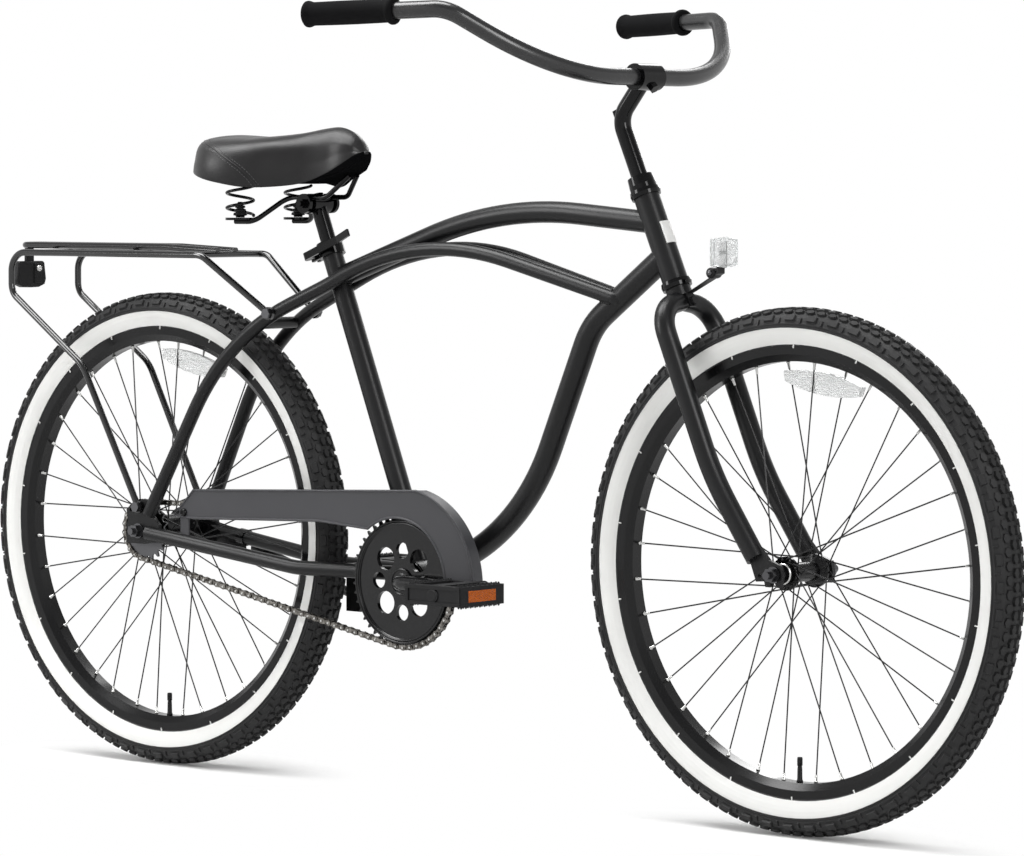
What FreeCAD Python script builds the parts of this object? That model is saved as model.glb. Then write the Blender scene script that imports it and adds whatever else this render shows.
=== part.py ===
"""Beach cruiser bicycle: curved cantilever frame, coaster-brake rear wheel, sprung saddle and rear rack.

Frame of reference in millimetres: +X forward, +Y to the rider's left, +Z up, with the origin on the
ground midway between the wheels.
"""
import FreeCAD, Part
import math
import os
import Sketcher
from FreeCAD import Placement, Rotation, Vector

os.makedirs("parts", exist_ok=True)
doc = FreeCAD.newDocument("BeachCruiser")
sheet = doc.addObject("Spreadsheet::Sheet", "Sizes")
pieces = []
sheet_rows = []


class Size(float):
    """A length or count that keeps the sheet formula it comes from."""

    def __new__(cls, value, formula):
        number = float.__new__(cls, value)
        number.formula = formula
        return number

    def __add__(self, other):
        return Size(float(self) + float(other), "(%s + %s)" % (self.formula, formula_of(other)))

    def __sub__(self, other):
        return Size(float(self) - float(other), "(%s - %s)" % (self.formula, formula_of(other)))

    def __mul__(self, other):
        return Size(float(self) * float(other), "(%s * %s)" % (self.formula, formula_of(other)))

    def __truediv__(self, other):
        return Size(float(self) / float(other), "(%s / %s)" % (self.formula, formula_of(other)))

    def __radd__(self, other):
        return Size(float(other) + float(self), "(%s + %s)" % (formula_of(other), self.formula))

    def __rsub__(self, other):
        return Size(float(other) - float(self), "(%s - %s)" % (formula_of(other), self.formula))

    def __rmul__(self, other):
        return Size(float(other) * float(self), "(%s * %s)" % (formula_of(other), self.formula))

    def __neg__(self):
        return Size(-float(self), "(0 - %s)" % self.formula)


def formula_of(value):
    if isinstance(value, Size):
        return value.formula
    return "(%r)" % float(value)


def size(alias, value):
    """Write one driving dimension to the sheet and return it as a Size."""
    sheet_rows.append(alias)
    row = len(sheet_rows)
    sheet.set("A%d" % row, alias)
    sheet.set("B%d" % row, str(value))
    sheet.setAlias("B%d" % row, alias)
    return Size(value, "Sizes." + alias)


def bind(obj, path, value):
    if isinstance(value, Size):
        obj.setExpression(path, value.formula)


# Wheels and tyres
tyre_radius = size("tyre_radius", 335.0)
tyre_width = size("tyre_width", 54.0)
tyre_depth = size("tyre_depth", 55.5)
whitewall_drop = size("whitewall_drop", 26.0)
tread_width = size("tread_width", 41.0)
tread_drop = size("tread_drop", 8.0)
rim_width = size("rim_width", 32.0)
rim_wall = size("rim_wall", 2.5)
rim_flange_rise = size("rim_flange_rise", 8.0)
rim_depth = size("rim_depth", 13.0)
rim_floor_width = size("rim_floor_width", 18.0)
rim_side_height = size("rim_side_height", 12.0)
spoke_count = size("spoke_count", 36)
spoke_crosses = size("spoke_crosses", 3)
spoke_radius = size("spoke_radius", 1.0)
valve_radius = size("valve_radius", 3.5)
valve_length = size("valve_length", 32.0)
front_reflector_turn = size("front_reflector_turn", 81.5)
rear_reflector_turn = size("rear_reflector_turn", 77.8)
reflector_inset = size("reflector_inset", 24.0)
reflector_spread = size("reflector_spread", 28.0)
reflector_height = size("reflector_height", 28.0)
reflector_end = size("reflector_end", 13.0)
reflector_depth = size("reflector_depth", 9.0)
running_gap = size("running_gap", 0.08)
bead_radius = tyre_radius - tyre_depth
rim_flange_radius = bead_radius + rim_flange_rise
whitewall_radius = tyre_radius - whitewall_drop

# Hubs and axles
axle_radius = size("axle_radius", 5.0)
axle_overhang = size("axle_overhang", 17.0)
locknut_radius = size("locknut_radius", 9.0)
nut_radius = size("nut_radius", 9.2)
nut_height = size("nut_height", 9.0)
washer_radius = size("washer_radius", 10.5)
washer_thickness = size("washer_thickness", 2.0)
front_spacing = size("front_spacing", 100.0)
front_flange_radius = size("front_flange_radius", 21.5)
front_flange_span = size("front_flange_span", 60.0)
front_barrel_radius = size("front_barrel_radius", 12.5)
front_shell_length = size("front_shell_length", 80.0)
rear_spacing = size("rear_spacing", 110.0)
rear_flange_radius = size("rear_flange_radius", 29.0)
rear_flange_span = size("rear_flange_span", 56.0)
rear_barrel_radius = size("rear_barrel_radius", 20.0)
rear_shell_left = size("rear_shell_left", 44.0)
rear_shell_right = size("rear_shell_right", 37.0)
flange_thickness = size("flange_thickness", 3.5)
spoke_hole_inset = size("spoke_hole_inset", 3.5)

# Frame
head_angle = size("head_angle", 66.1)
fork_offset = size("fork_offset", 38.6)
crown_over_tyre = size("crown_over_tyre", 43.0)
head_over_crown = size("head_over_crown", 37.0)
crown_height = tyre_radius + crown_over_tyre
head_bottom = crown_height + head_over_crown
head_length = size("head_length", 118.5)
head_tube_radius = size("head_tube_radius", 17.0)
head_tube_bore = size("head_tube_bore", 15.1)
seat_angle = size("seat_angle", 68.4)
seat_tube_radius = size("seat_tube_radius", 14.3)
seat_tube_length = size("seat_tube_length", 488.0)
seat_post_radius = size("seat_post_radius", 11.1)
bracket_drop = size("bracket_drop", 45.0)
toe_room = size("toe_room", 297.65)
bracket_shell_radius = size("bracket_shell_radius", 28.0)
bracket_bore = size("bracket_bore", 25.65)
bracket_width = size("bracket_width", 68.0)
top_tube_radius = size("top_tube_radius", 14.3)
down_tube_radius = size("down_tube_radius", 15.9)
side_tube_radius = size("side_tube_radius", 9.5)
chainstay_radius = size("chainstay_radius", 10.0)
dropout_thickness = size("dropout_thickness", 6.0)
eyelet_radius = size("eyelet_radius", 2.6)
cup_lip = size("cup_lip", 3.0)

# Drive
chain_pitch = size("chain_pitch", 12.7)
tyre_to_bracket = size("tyre_to_bracket", 158.0)
ring_teeth = size("ring_teeth", 44)
cog_teeth = size("cog_teeth", 20)
roller_radius = size("roller_radius", 3.85)
tooth_clearance = size("tooth_clearance", 0.25)
sprocket_thickness = size("sprocket_thickness", 3.0)
chain_inner_width = size("chain_inner_width", 3.5)
chain_plate = size("chain_plate", 1.25)
chain_plate_height = size("chain_plate_height", 8.2)
chain_line = size("chain_line", 45.5)
crank_length = size("crank_length", 170.0)
crank_radius = size("crank_radius", 10.5)
crank_bend_radius = size("crank_bend_radius", 24.0)
crank_root = size("crank_root", 67.0)
crank_tread = size("crank_tread", 84.0)
crank_eye_radius = size("crank_eye_radius", 13.0)
crank_eye_thickness = size("crank_eye_thickness", 14.0)

axle_z = tyre_radius


# Chain length and wheelbase: the nearest even number of links sets the chainstay length

def pitch_radius(teeth):
    return float(chain_pitch) / (2 * math.sin(math.pi / float(teeth)))


ring_pitch = pitch_radius(ring_teeth)
cog_pitch = pitch_radius(cog_teeth)


def links_for(centres):
    """Chain length in links for a distance between the two sprocket centres."""
    lean = math.asin((ring_pitch - cog_pitch) / centres)
    straight = 2 * centres * math.cos(lean) / float(chain_pitch)
    wrap = float(ring_teeth) * (0.5 + lean / math.pi) + float(cog_teeth) * (0.5 - lean / math.pi)
    return straight + wrap


def chainstay_for(links):
    low = ring_pitch + cog_pitch
    high = float(chain_pitch) * links
    for step in range(60):
        middle = (low + high) / 2
        if links_for(middle) < links:
            low = middle
        else:
            high = middle
    return (low + high) / 2


chain_links = 2 * int(round(links_for(float(tyre_radius + tyre_to_bracket)) / 2))
stay_length = chainstay_for(chain_links)
rear_centre = math.sqrt(stay_length ** 2 - float(bracket_drop) ** 2)
wheelbase = tyre_radius + toe_room + rear_centre
front_axle_x = wheelbase / 2
rear_axle_x = -(wheelbase / 2)


# Shared shape helpers

def add_piece(obj, label):
    obj.Label = label
    pieces.append(obj)
    return obj


def plain_feature(label, shape):
    """A piece whose shape is built directly from the sheet's values."""
    obj = doc.addObject("Part::Feature", label)
    obj.Shape = shape
    return add_piece(obj, label)


def group(label, objects):
    """Several separate solids that share one node."""
    obj = doc.addObject("Part::Compound", label)
    obj.Links = objects
    return add_piece(obj, label)


def outline_sketch(body, name, role, outline, circles=()):
    """A closed outline of vertices tied to the sheet, with round holes.

    A vertex is (u, v); a vertex (u, v, u2, v2) is reached by an arc through (u2, v2).
    """
    sketch = body.newObject("Sketcher::SketchObject", name)
    plane = [item for item in body.Origin.OriginFeatures if item.Role == role][0]
    sketch.AttachmentSupport = [(plane, "")]
    sketch.MapMode = "FlatFace"
    count = len(outline)
    ends = []
    for index in range(count):
        start = outline[index]
        end = outline[(index + 1) % count]
        first = Vector(start[0], start[1], 0)
        last = Vector(end[0], end[1], 0)
        if len(end) == 4:
            through = Vector(end[2], end[3], 0)
            leftward = (through - first).cross(last - first).z > 0
            circle = Part.Circle(first, through, last)
            centre = circle.Center
            begin, finish = (first, last) if leftward else (last, first)
            turn = [math.atan2(point.y - centre.y, point.x - centre.x) for point in (begin, finish)]
            flat_circle = Part.Circle(centre, Vector(0, 0, 1), circle.Radius)
            sketch.addGeometry(Part.ArcOfCircle(flat_circle, turn[0], turn[1]))
            ends.append((1, 2) if leftward else (2, 1))
        else:
            sketch.addGeometry(Part.LineSegment(first, last))
            ends.append((1, 2))
    for index in range(count):
        following = (index + 1) % count
        sketch.addConstraint(
            Sketcher.Constraint("Coincident", index, ends[index][1], following, ends[following][0]))
    for index in range(count):
        for kind, value in (("DistanceX", outline[index][0]), ("DistanceY", outline[index][1])):
            number = sketch.addConstraint(
                Sketcher.Constraint(kind, -1, 1, index, ends[index][0], float(value)))
            bind(sketch, "Constraints[%d]" % number, value)
        edge = sketch.Geometry[index]
        if len(outline[(index + 1) % count]) == 4:
            chord = edge.StartPoint.distanceToPoint(edge.EndPoint)
            if chord < 1.98 * edge.Radius:
                sketch.addConstraint(Sketcher.Constraint("Radius", index, edge.Radius))
    for u, v, radius in circles:
        hole = sketch.addGeometry(Part.Circle(Vector(u, v, 0), Vector(0, 0, 1), float(radius)))
        for kind, value in (("DistanceX", u), ("DistanceY", v)):
            number = sketch.addConstraint(Sketcher.Constraint(kind, -1, 1, hole, 3, float(value)))
            bind(sketch, "Constraints[%d]" % number, value)
        number = sketch.addConstraint(Sketcher.Constraint("Radius", hole, float(radius)))
        bind(sketch, "Constraints[%d]" % number, radius)
    return sketch


def new_body(name, base=Vector(), turn=Rotation()):
    body = doc.addObject("PartDesign::Body", name)
    body.Placement = Placement(Vector(*[float(part) for part in base]), turn)
    for axis, value in zip("xyz", base):
        bind(body, "Placement.Base." + axis, value)
    return body


def turned_body(name, outline, base=Vector(), turn=Rotation(), role="XY_Plane"):
    """A solid of revolution about the sketch's vertical axis: outline points are (radius, along)."""
    body = new_body(name, base, turn)
    sketch = outline_sketch(body, name + "_profile", role, outline)
    spin = body.newObject("PartDesign::Revolution", name + "_turned")
    spin.Profile = sketch
    spin.ReferenceAxis = (sketch, ["V_Axis"])
    spin.Angle = 360
    return body


def plate_body(name, outline, thickness, base=Vector(), circles=(), role="XZ_Plane", turn=Rotation()):
    """A flat plate padded from its outline; on the XZ plane it grows towards -Y."""
    body = new_body(name, base, turn)
    sketch = outline_sketch(body, name + "_outline", role, outline, circles)
    pad = body.newObject("PartDesign::Pad", name + "_pad")
    pad.Profile = sketch
    pad.Length = float(thickness)
    bind(pad, "Length", thickness)
    return body


def bent_path(points, bends):
    """Straight runs joined by tangent arcs; bends holds one radius per inner point."""
    edges = []
    start = points[0]
    for index in range(1, len(points) - 1):
        corner = points[index]
        back = (points[index - 1] - corner).normalize()
        ahead = (points[index + 1] - corner).normalize()
        half = back.getAngle(ahead) / 2
        reach = bends[index - 1] / math.tan(half)
        enter = corner + back * reach
        leave = corner + ahead * reach
        middle_line = (back + ahead).normalize()
        centre = corner + middle_line * (bends[index - 1] / math.sin(half))
        middle = centre - middle_line * bends[index - 1]
        if start.distanceToPoint(enter) > 1e-6:
            edges.append(Part.LineSegment(start, enter).toShape())
        edges.append(Part.Arc(enter, middle, leave).toShape())
        start = leave
    edges.append(Part.LineSegment(start, points[-1]).toShape())
    return Part.Wire(edges)


def rod(points, bends, radius):
    """A round bar or tube, filled, along straight runs and tangent bends."""
    path = bent_path(points, bends)
    direction = points[1] - points[0]
    section = Part.Wire([Part.Circle(points[0], direction, float(radius)).toShape()])
    return path.makePipeShell([section], True, False)


def bar(start, end, radius):
    return Part.makeCylinder(float(radius), start.distanceToPoint(end), start, end - start)


def tube(start, end, radius, bore):
    return bar(start, end, radius).cut(bar(start, end, bore))


def prism(corners, along):
    """A straight prism on a flat polygon of corner points."""
    return Part.Face(Part.makePolygon(list(corners) + [corners[0]])).extrude(along)


def hexagon(centre, radius, side, up):
    """Corner points of a hexagon from its corner radius and two crossing directions."""
    across = Vector(side).normalize()
    above = Vector(up).normalize()
    points = []
    for step in range(6):
        angle = math.radians(60 * step)
        points.append(centre + across * (float(radius) * math.cos(angle)) + above * (float(radius) * math.sin(angle)))
    return points


def mirrored(point):
    return Vector(point.x, -point.y, point.z)


# Places on the steering axis, the seat axis and the bottom bracket
head_radians = math.radians(head_angle)
steer_up = Vector(-math.cos(head_radians), 0, math.sin(head_radians))
steer_ahead = Vector(math.sin(head_radians), 0, math.cos(head_radians))
steer_turn = Rotation(Vector(0, 1, 0), float(head_angle) - 90)
front_axle = Vector(front_axle_x, 0, axle_z)
rear_axle = Vector(rear_axle_x, 0, axle_z)
steer_foot = front_axle - steer_ahead * float(fork_offset)


def on_steer(height, ahead=0.0, left=0.0):
    """A point at a height along the steering axis above the axle's level line."""
    return steer_foot + steer_up * float(height) + steer_ahead * float(ahead) + Vector(0, float(left), 0)


bracket = Vector(rear_axle_x + rear_centre, 0, axle_z - bracket_drop)
seat_radians = math.radians(seat_angle)
seat_rise = float(seat_tube_length) * math.sin(seat_radians)
seat_up = Vector(-math.cos(seat_radians), 0, math.sin(seat_radians))


def on_seat(height, left=0.0):
    return bracket + seat_up * float(height) + Vector(0, float(left), 0)


bracket_block = bar(bracket + Vector(0, -bracket_width / 2, 0), bracket + Vector(0, bracket_width / 2, 0),
                    bracket_shell_radius)
head_block = bar(on_steer(head_bottom), on_steer(head_bottom + head_length), head_tube_radius)
seat_block = bar(on_seat(0), on_seat(seat_tube_length), seat_tube_radius)

# Bottom bracket shell and seat tube
half_shell = bracket_width / 2
add_piece(turned_body("bottom_bracket_shell",
                      [(bracket_bore, -half_shell), (bracket_shell_radius, -half_shell),
                       (bracket_shell_radius, half_shell), (bracket_bore, half_shell)],
                      bracket), "bottom_bracket_shell")
seat_tube_fit = size("seat_tube_fit", 0.08)
seat_bore = seat_post_radius + seat_tube_fit
seat_shape = seat_block.cut(bar(on_seat(0), on_seat(seat_tube_length), seat_bore)).cut(bracket_block)
plain_feature("seat_tube", seat_shape)

# Head tube with its badge
add_piece(turned_body("head_tube",
                      [(head_tube_bore, 0), (head_tube_radius, 0),
                       (head_tube_radius, head_length), (head_tube_bore, head_length)],
                      on_steer(head_bottom), steer_turn, "XZ_Plane"), "head_tube")
badge_height = size("badge_height", 30.0)
badge_spread = size("badge_spread", 70.0)
badge_thickness = size("badge_thickness", 1.2)
badge_lift = size("badge_lift", 48.0)
badge_ring = Part.makeCylinder(float(head_tube_radius + badge_thickness), float(badge_height), Vector(),
                               Vector(0, 0, 1), float(badge_spread))
badge_ring = badge_ring.cut(Part.makeCylinder(float(head_tube_radius), float(badge_height)))
badge = plain_feature("head_badge", badge_ring)
badge.Placement = Placement(on_steer(head_bottom + badge_lift), steer_turn.multiply(
    Rotation(Vector(0, 0, 1), -float(badge_spread) / 2)))

# Top tube: rises from the head tube, then arches down to the seat tube
top_tube_head = size("top_tube_head", 82.0)
top_tube_below = size("top_tube_below", 52.0)
top_tube_seat = seat_tube_length - top_tube_below
top_tube_peak_back = size("top_tube_peak_back", 261.0)
top_tube_peak_rise = size("top_tube_peak_rise", 22.5)
top_tube_bend = size("top_tube_bend", 640.0)
top_start = on_steer(head_bottom + top_tube_head)
top_peak = top_start + Vector(-top_tube_peak_back, 0, top_tube_peak_rise)
top_shape = rod([top_start, top_peak, on_seat(top_tube_seat)], [float(top_tube_bend)], top_tube_radius)
top_shape = top_shape.cut(head_block).cut(seat_block)
top_shape = max(top_shape.Solids, key=lambda solid: solid.Volume)
plain_feature("top_tube", top_shape)

# Down tube: an S from the head tube to the bottom bracket
down_tube_head = size("down_tube_head", 37.0)
down_upper_back = size("down_upper_back", 124.6)
down_upper_drop = size("down_upper_drop", 93.7)
down_upper_bend = size("down_upper_bend", 100.0)
down_lower_ahead = size("down_lower_ahead", 176.0)
down_lower_rise = size("down_lower_rise", 87.0)
down_lower_bend = size("down_lower_bend", 300.0)
down_start = on_steer(head_bottom + down_tube_head)
down_upper = down_start + Vector(-down_upper_back, 0, -down_upper_drop)
down_lower = bracket + Vector(down_lower_ahead, 0, down_lower_rise)
down_shape = rod([down_start, down_upper, down_lower, bracket],
                 [float(down_upper_bend), float(down_lower_bend)], down_tube_radius)
down_block = down_shape
down_shape = down_shape.cut(head_block).cut(bracket_block)
down_shape = max(down_shape.Solids, key=lambda solid: solid.Volume)
plain_feature("down_tube", down_shape)

# Rear dropouts: plates with a slot open to the rear and two eyelets above it
dropout_inner = rear_spacing / 2
slot_half = size("slot_half", 5.2)
dropout_front = size("dropout_front", 40.0)
dropout_tail = size("dropout_tail", 24.0)
dropout_top = size("dropout_top", 45.0)
dropout_foot = size("dropout_foot", 18.0)
eyelet_back = size("eyelet_back", 15.0)
eyelet_rise = size("eyelet_rise", 29.0)
rack_eyelet_ahead = size("rack_eyelet_ahead", 2.0)
rack_eyelet_rise = size("rack_eyelet_rise", 34.0)
dropout_outline = [
    (dropout_front, 10.0), (dropout_front - 12, 22.0), (dropout_front - 14, dropout_top),
    (rack_eyelet_ahead, dropout_top), (-eyelet_back, eyelet_rise + 8),
    (-dropout_tail, eyelet_rise), (-dropout_tail + 3, 15.0), (-dropout_tail, slot_half),
    (0.0, slot_half), (0.0, -slot_half, slot_half, 0.0), (-dropout_tail, -slot_half),
    (-dropout_tail, -dropout_foot), (12.0, -dropout_foot), (dropout_front, -12.0)]
dropout_holes = [(-eyelet_back, eyelet_rise, eyelet_radius),
                 (rack_eyelet_ahead, rack_eyelet_rise, eyelet_radius)]
dropouts = []
for side, inner in (("right", -dropout_inner), ("left", dropout_inner + dropout_thickness)):
    dropouts.append(plate_body(side + "_dropout", dropout_outline, dropout_thickness,
                               (rear_axle_x, inner, axle_z), dropout_holes))
group("dropouts", dropouts)
doc.recompute()
dropout_shapes = [Part.Compound([body.Shape]) for body in dropouts]


def both_sides(points):
    """The same polyline on the right and, mirrored, on the left."""
    return [points, [mirrored(point) for point in points]]


# Side tubes: twin tubes from the down tube past the seat tube, going on as seat stays
stay_end_left = size("stay_end_left", 62.0)
side_start_left = size("side_start_left", 10.0)
side_seat_left = size("side_seat_left", 23.95)
side_tyre_left = size("side_tyre_left", 44.0)
side_front_bend = size("side_front_bend", 437.0)
side_seat_bend = size("side_seat_bend", 300.0)
side_rear_bend = size("side_rear_bend", 341.0)
side_front_back = size("side_front_back", 81.0)
side_front_drop = size("side_front_drop", 56.5)
side_peak_ahead = size("side_peak_ahead", 5.0)
side_peak_over = size("side_peak_over", 19.3)
side_seat_below = size("side_seat_below", 56.7)
side_rear_ahead = size("side_rear_ahead", 158.0)
side_rear_below = size("side_rear_below", 132.7)
side_end_ahead = size("side_end_ahead", 22.0)
side_end_rise = size("side_end_rise", 24.0)
side_seat_point = on_seat((seat_rise - float(side_seat_below)) / math.sin(seat_radians))
side_rear_rise = seat_rise - float(side_rear_below) - float(bracket_drop)
side_points = [
    down_start + Vector(-side_front_back, -side_start_left, -side_front_drop),
    bracket + Vector(side_peak_ahead, -side_seat_left, seat_rise + side_peak_over),
    side_seat_point + Vector(0, -side_seat_left, 0),
    rear_axle + Vector(side_rear_ahead, -side_tyre_left, side_rear_rise),
    rear_axle + Vector(side_end_ahead, -stay_end_left, side_end_rise)]
side_solids = []
side_blocks = []
for points, dropout in zip(both_sides(side_points), dropout_shapes):
    shape = rod(points, [float(side_front_bend), float(side_seat_bend), float(side_rear_bend)], side_tube_radius)
    side_blocks.append(shape)
    shape = shape.cut(down_block).cut(dropout)
    side_solids.append(max(shape.Solids, key=lambda solid: solid.Volume))
overlap = side_solids[0].common(side_solids[1])
if overlap.Volume > 0:
    side_solids[0] = side_solids[0].cut(overlap)
plain_feature("side_tubes", Part.Compound(side_solids))

# Chainstays: swept out past the chainring and the tyre
stay_root_left = size("stay_root_left", 20.0)
stay_ring_left = size("stay_ring_left", 32.5)
stay_tyre_left = size("stay_tyre_left", 46.5)
stay_ring_back = size("stay_ring_back", 102.0)
stay_tyre_back = size("stay_tyre_back", 197.0)
stay_rise = size("stay_rise", 8.0)
stay_bend = size("stay_bend", 150.0)
stay_end_ahead = size("stay_end_ahead", 20.0)
stay_end_drop = size("stay_end_drop", 2.0)
stay_points = [
    bracket + Vector(0, -stay_root_left, stay_rise),
    bracket + Vector(-stay_ring_back, -stay_ring_left, stay_rise),
    bracket + Vector(-stay_tyre_back, -stay_tyre_left, stay_rise),
    rear_axle + Vector(stay_end_ahead, -stay_end_left - 1, -stay_end_drop)]
stay_solids = []
stay_blocks = []
for points, dropout in zip(both_sides(stay_points), dropout_shapes):
    shape = rod(points, [float(stay_bend)] * 2, chainstay_radius)
    stay_blocks.append(shape)
    shape = shape.cut(bracket_block).cut(dropout)
    stay_solids.append(max(shape.Solids, key=lambda solid: solid.Volume))
plain_feature("chainstays", Part.Compound(stay_solids))

# Bridges between the seat stays and between the chainstays
bridge_radius = size("bridge_radius", 8.0)
upper_bridge_back = size("upper_bridge_back", 274.1)
lower_bridge_room = size("lower_bridge_room", 28.85)
lower_bridge_back = rear_centre - float(tyre_radius + lower_bridge_room)


def centre_height(block, x, z, reach=60.0):
    """Height of a tube's middle at a place along the bicycle, near a first guess."""
    slab = Part.makeBox(0.2, 200, 2 * reach, Vector(x - 0.1, -200, z - reach))
    slice_box = block.common(slab).BoundBox
    return Vector(x, slice_box.Center.y, slice_box.Center.z)


side_run_below = (side_seat_below + side_rear_below) / 2
side_run_middle = bracket.z + seat_rise - float(side_run_below)
upper_bridge = centre_height(side_blocks[0], bracket.x - float(upper_bridge_back), side_run_middle)
lower_bridge = centre_height(stay_blocks[0], bracket.x - lower_bridge_back, bracket.z + float(stay_rise))
bridge_solids = []
for middle, blocks in ((upper_bridge, side_blocks), (lower_bridge, stay_blocks)):
    shape = bar(middle, mirrored(middle), bridge_radius)
    for block in blocks:
        shape = shape.cut(block)
    bridge_solids.append(max(shape.Solids, key=lambda solid: solid.Volume))
plain_feature("stay_bridges", Part.Compound(bridge_solids))


# Wheels: the same rim, tyre and spoke pattern on two different hubs

def axle_outline(spacing, plate, right_end, left_end):
    """Half profile of an axle with its cones and locknuts outside the hub's two ends."""
    tip = spacing / 2 + plate + axle_overhang
    nut_face = spacing / 2
    return [(0.0, -tip), (axle_radius, -tip), (axle_radius, -nut_face), (locknut_radius, -nut_face),
            (locknut_radius, -right_end), (axle_radius, -right_end), (axle_radius, left_end),
            (locknut_radius, left_end), (locknut_radius, nut_face), (axle_radius, nut_face),
            (axle_radius, tip), (0.0, tip)]


def axle_nuts(centre, spacing, plate):
    """A washer and a hexagon nut outside each dropout."""
    solids = []
    for side in (-1, 1):
        outward = Vector(0, side, 0)
        seat = centre + outward * float(spacing / 2 + plate)
        top = seat + outward * float(washer_thickness)
        washer = tube(seat, top, washer_radius, axle_radius)
        corners = hexagon(top, nut_radius, Vector(1, 0, 0), Vector(0, 0, 1))
        nut = prism(corners, outward * float(nut_height))
        nut = nut.cut(bar(top, top + outward * float(nut_height), axle_radius))
        solids.append(washer.fuse(nut).removeSplitter())
    return solids


def hub_outline(flange_radius, flange_span, barrel, right_end, left_end, end_radius):
    bore = axle_radius + running_gap
    inner = flange_span / 2 - flange_thickness / 2
    outer = flange_span / 2 + flange_thickness / 2
    return [(bore, -right_end), (end_radius, -right_end), (end_radius, -outer),
            (flange_radius, -outer), (flange_radius, -inner), (barrel, -inner + 4),
            (barrel, inner - 4), (flange_radius, inner), (flange_radius, outer),
            (end_radius, outer), (end_radius, left_end), (bore, left_end)]


rim_half = rim_width / 2
bead_half = rim_half - rim_wall
rim_floor_radius = bead_radius - rim_depth
rim_outline = [
    (rim_flange_radius, rim_half), (rim_flange_radius - rim_side_height, rim_half),
    (rim_floor_radius, rim_floor_width / 2), (rim_floor_radius, -rim_floor_width / 2),
    (rim_flange_radius - rim_side_height, -rim_half), (rim_flange_radius, -rim_half),
    (bead_radius, -bead_half), (bead_radius, bead_half)]
tyre_half = tyre_width / 2
sidewall_tuck = size("sidewall_tuck", 1.6)
shoulder_height = size("shoulder_height", 8.0)
tyre_outline = [
    (bead_radius, bead_half), (bead_radius, -bead_half), (rim_flange_radius, -rim_half),
    (whitewall_radius, -tyre_half + sidewall_tuck), (whitewall_radius + shoulder_height, -tyre_half),
    (tyre_radius - tread_drop, -tread_width / 2),
    (tyre_radius - tread_drop, tread_width / 2, tyre_radius, 0.0),
    (whitewall_radius + shoulder_height, tyre_half), (whitewall_radius, tyre_half - sidewall_tuck),
    (rim_flange_radius, rim_half)]


def spoke_set(centre, flange_radius, flange_span):
    """Crossed spokes, each laid on the outer or inner face of its hub flange."""
    count = int(spoke_count)
    step = 360.0 / count
    root = float(flange_radius - spoke_hole_inset)
    reach = float(rim_floor_radius) + 1.0
    spokes = []
    for index in range(count):
        side = 1 if index % 2 else -1
        trailing = 1 if (index // 2) % 2 else -1
        rim_turn = math.radians(step * (index + 0.5))
        hub_turn = rim_turn + trailing * math.radians(2 * step * float(spoke_crosses))
        lay = trailing * float(flange_thickness / 2 + spoke_radius)
        start = centre + Vector(root * math.cos(hub_turn), side * (float(flange_span) / 2 + lay),
                                root * math.sin(hub_turn))
        end = centre + Vector(reach * math.cos(rim_turn), side * float(rim_floor_width) / 6,
                              reach * math.sin(rim_turn))
        across = (end - start).cross(Vector(0, 1, 0))
        upward = across.cross(end - start)
        spokes.append(prism(hexagon(start, spoke_radius, across, upward), end - start))
    return spokes


def boat_plate(outer):
    """A wheel reflector: its outer edge follows the rim, its inner edge is a fuller curve."""
    half = math.radians(float(reflector_spread) / 2)
    inner_end = outer - float(reflector_end)
    low = -float(reflector_depth) / 2
    tips = []
    for radius in (outer, inner_end):
        for turn in (-half, half):
            tips.append(Vector(radius * math.cos(turn), low, radius * math.sin(turn)))
    edge = Part.Wire([
        Part.Arc(tips[0], Vector(outer, low, 0), tips[1]).toShape(), Part.makeLine(tips[1], tips[3]),
        Part.Arc(tips[3], Vector(outer - float(reflector_height), low, 0), tips[2]).toShape(),
        Part.makeLine(tips[2], tips[0])])
    return Part.Face(edge).extrude(Vector(0, float(reflector_depth), 0))


def build_wheel(name, centre, hub_sizes, flange_radius, flange_span, reflector_turn):
    place = (centre[0], 0.0, centre[1])
    middle = Vector(float(centre[0]), 0, float(centre[1]))
    hub = turned_body(name + "_hub_shell", hub_sizes, place)
    add_piece(hub, name + "_hub")
    rim = turned_body(name + "_rim_ring", rim_outline, place)
    add_piece(rim, name + "_rim")
    tyre = turned_body(name + "_tyre_casing", tyre_outline, place)
    valve = doc.addObject("Part::Cylinder", name + "_valve")
    valve.Radius = float(valve_radius)
    valve.Height = float(valve_length)
    bind(valve, "Radius", valve_radius)
    bind(valve, "Height", valve_length)
    valve.Placement = Placement(middle + Vector(0, 0, -float(rim_floor_radius)), Rotation())
    group(name + "_tyre", [tyre, valve])
    doc.recompute()
    floor = Part.makeCylinder(float(rim_floor_radius) + 5, float(rim_width),
                              middle + Vector(0, -float(rim_width) / 2, 0), Vector(0, 1, 0))
    floor = floor.cut(Part.makeCylinder(float(rim_floor_radius), float(rim_width),
                                        middle + Vector(0, -float(rim_width) / 2, 0), Vector(0, 1, 0)))
    spokes = [spoke.cut([hub.Shape, floor]) for spoke in spoke_set(middle, flange_radius, flange_span)]
    spokes = [max(spoke.Solids, key=lambda solid: solid.Volume) for spoke in spokes]
    plain_feature(name + "_spokes", Part.Compound(spokes))
    reflector = boat_plate(float(bead_radius - reflector_inset))
    reflector.rotate(Vector(), Vector(0, 1, 0), -float(reflector_turn))
    reflector.translate(middle)
    reflector = reflector.cut(spokes)
    plain_feature(name + "_wheel_reflector", max(reflector.Solids, key=lambda solid: solid.Volume))


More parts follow.
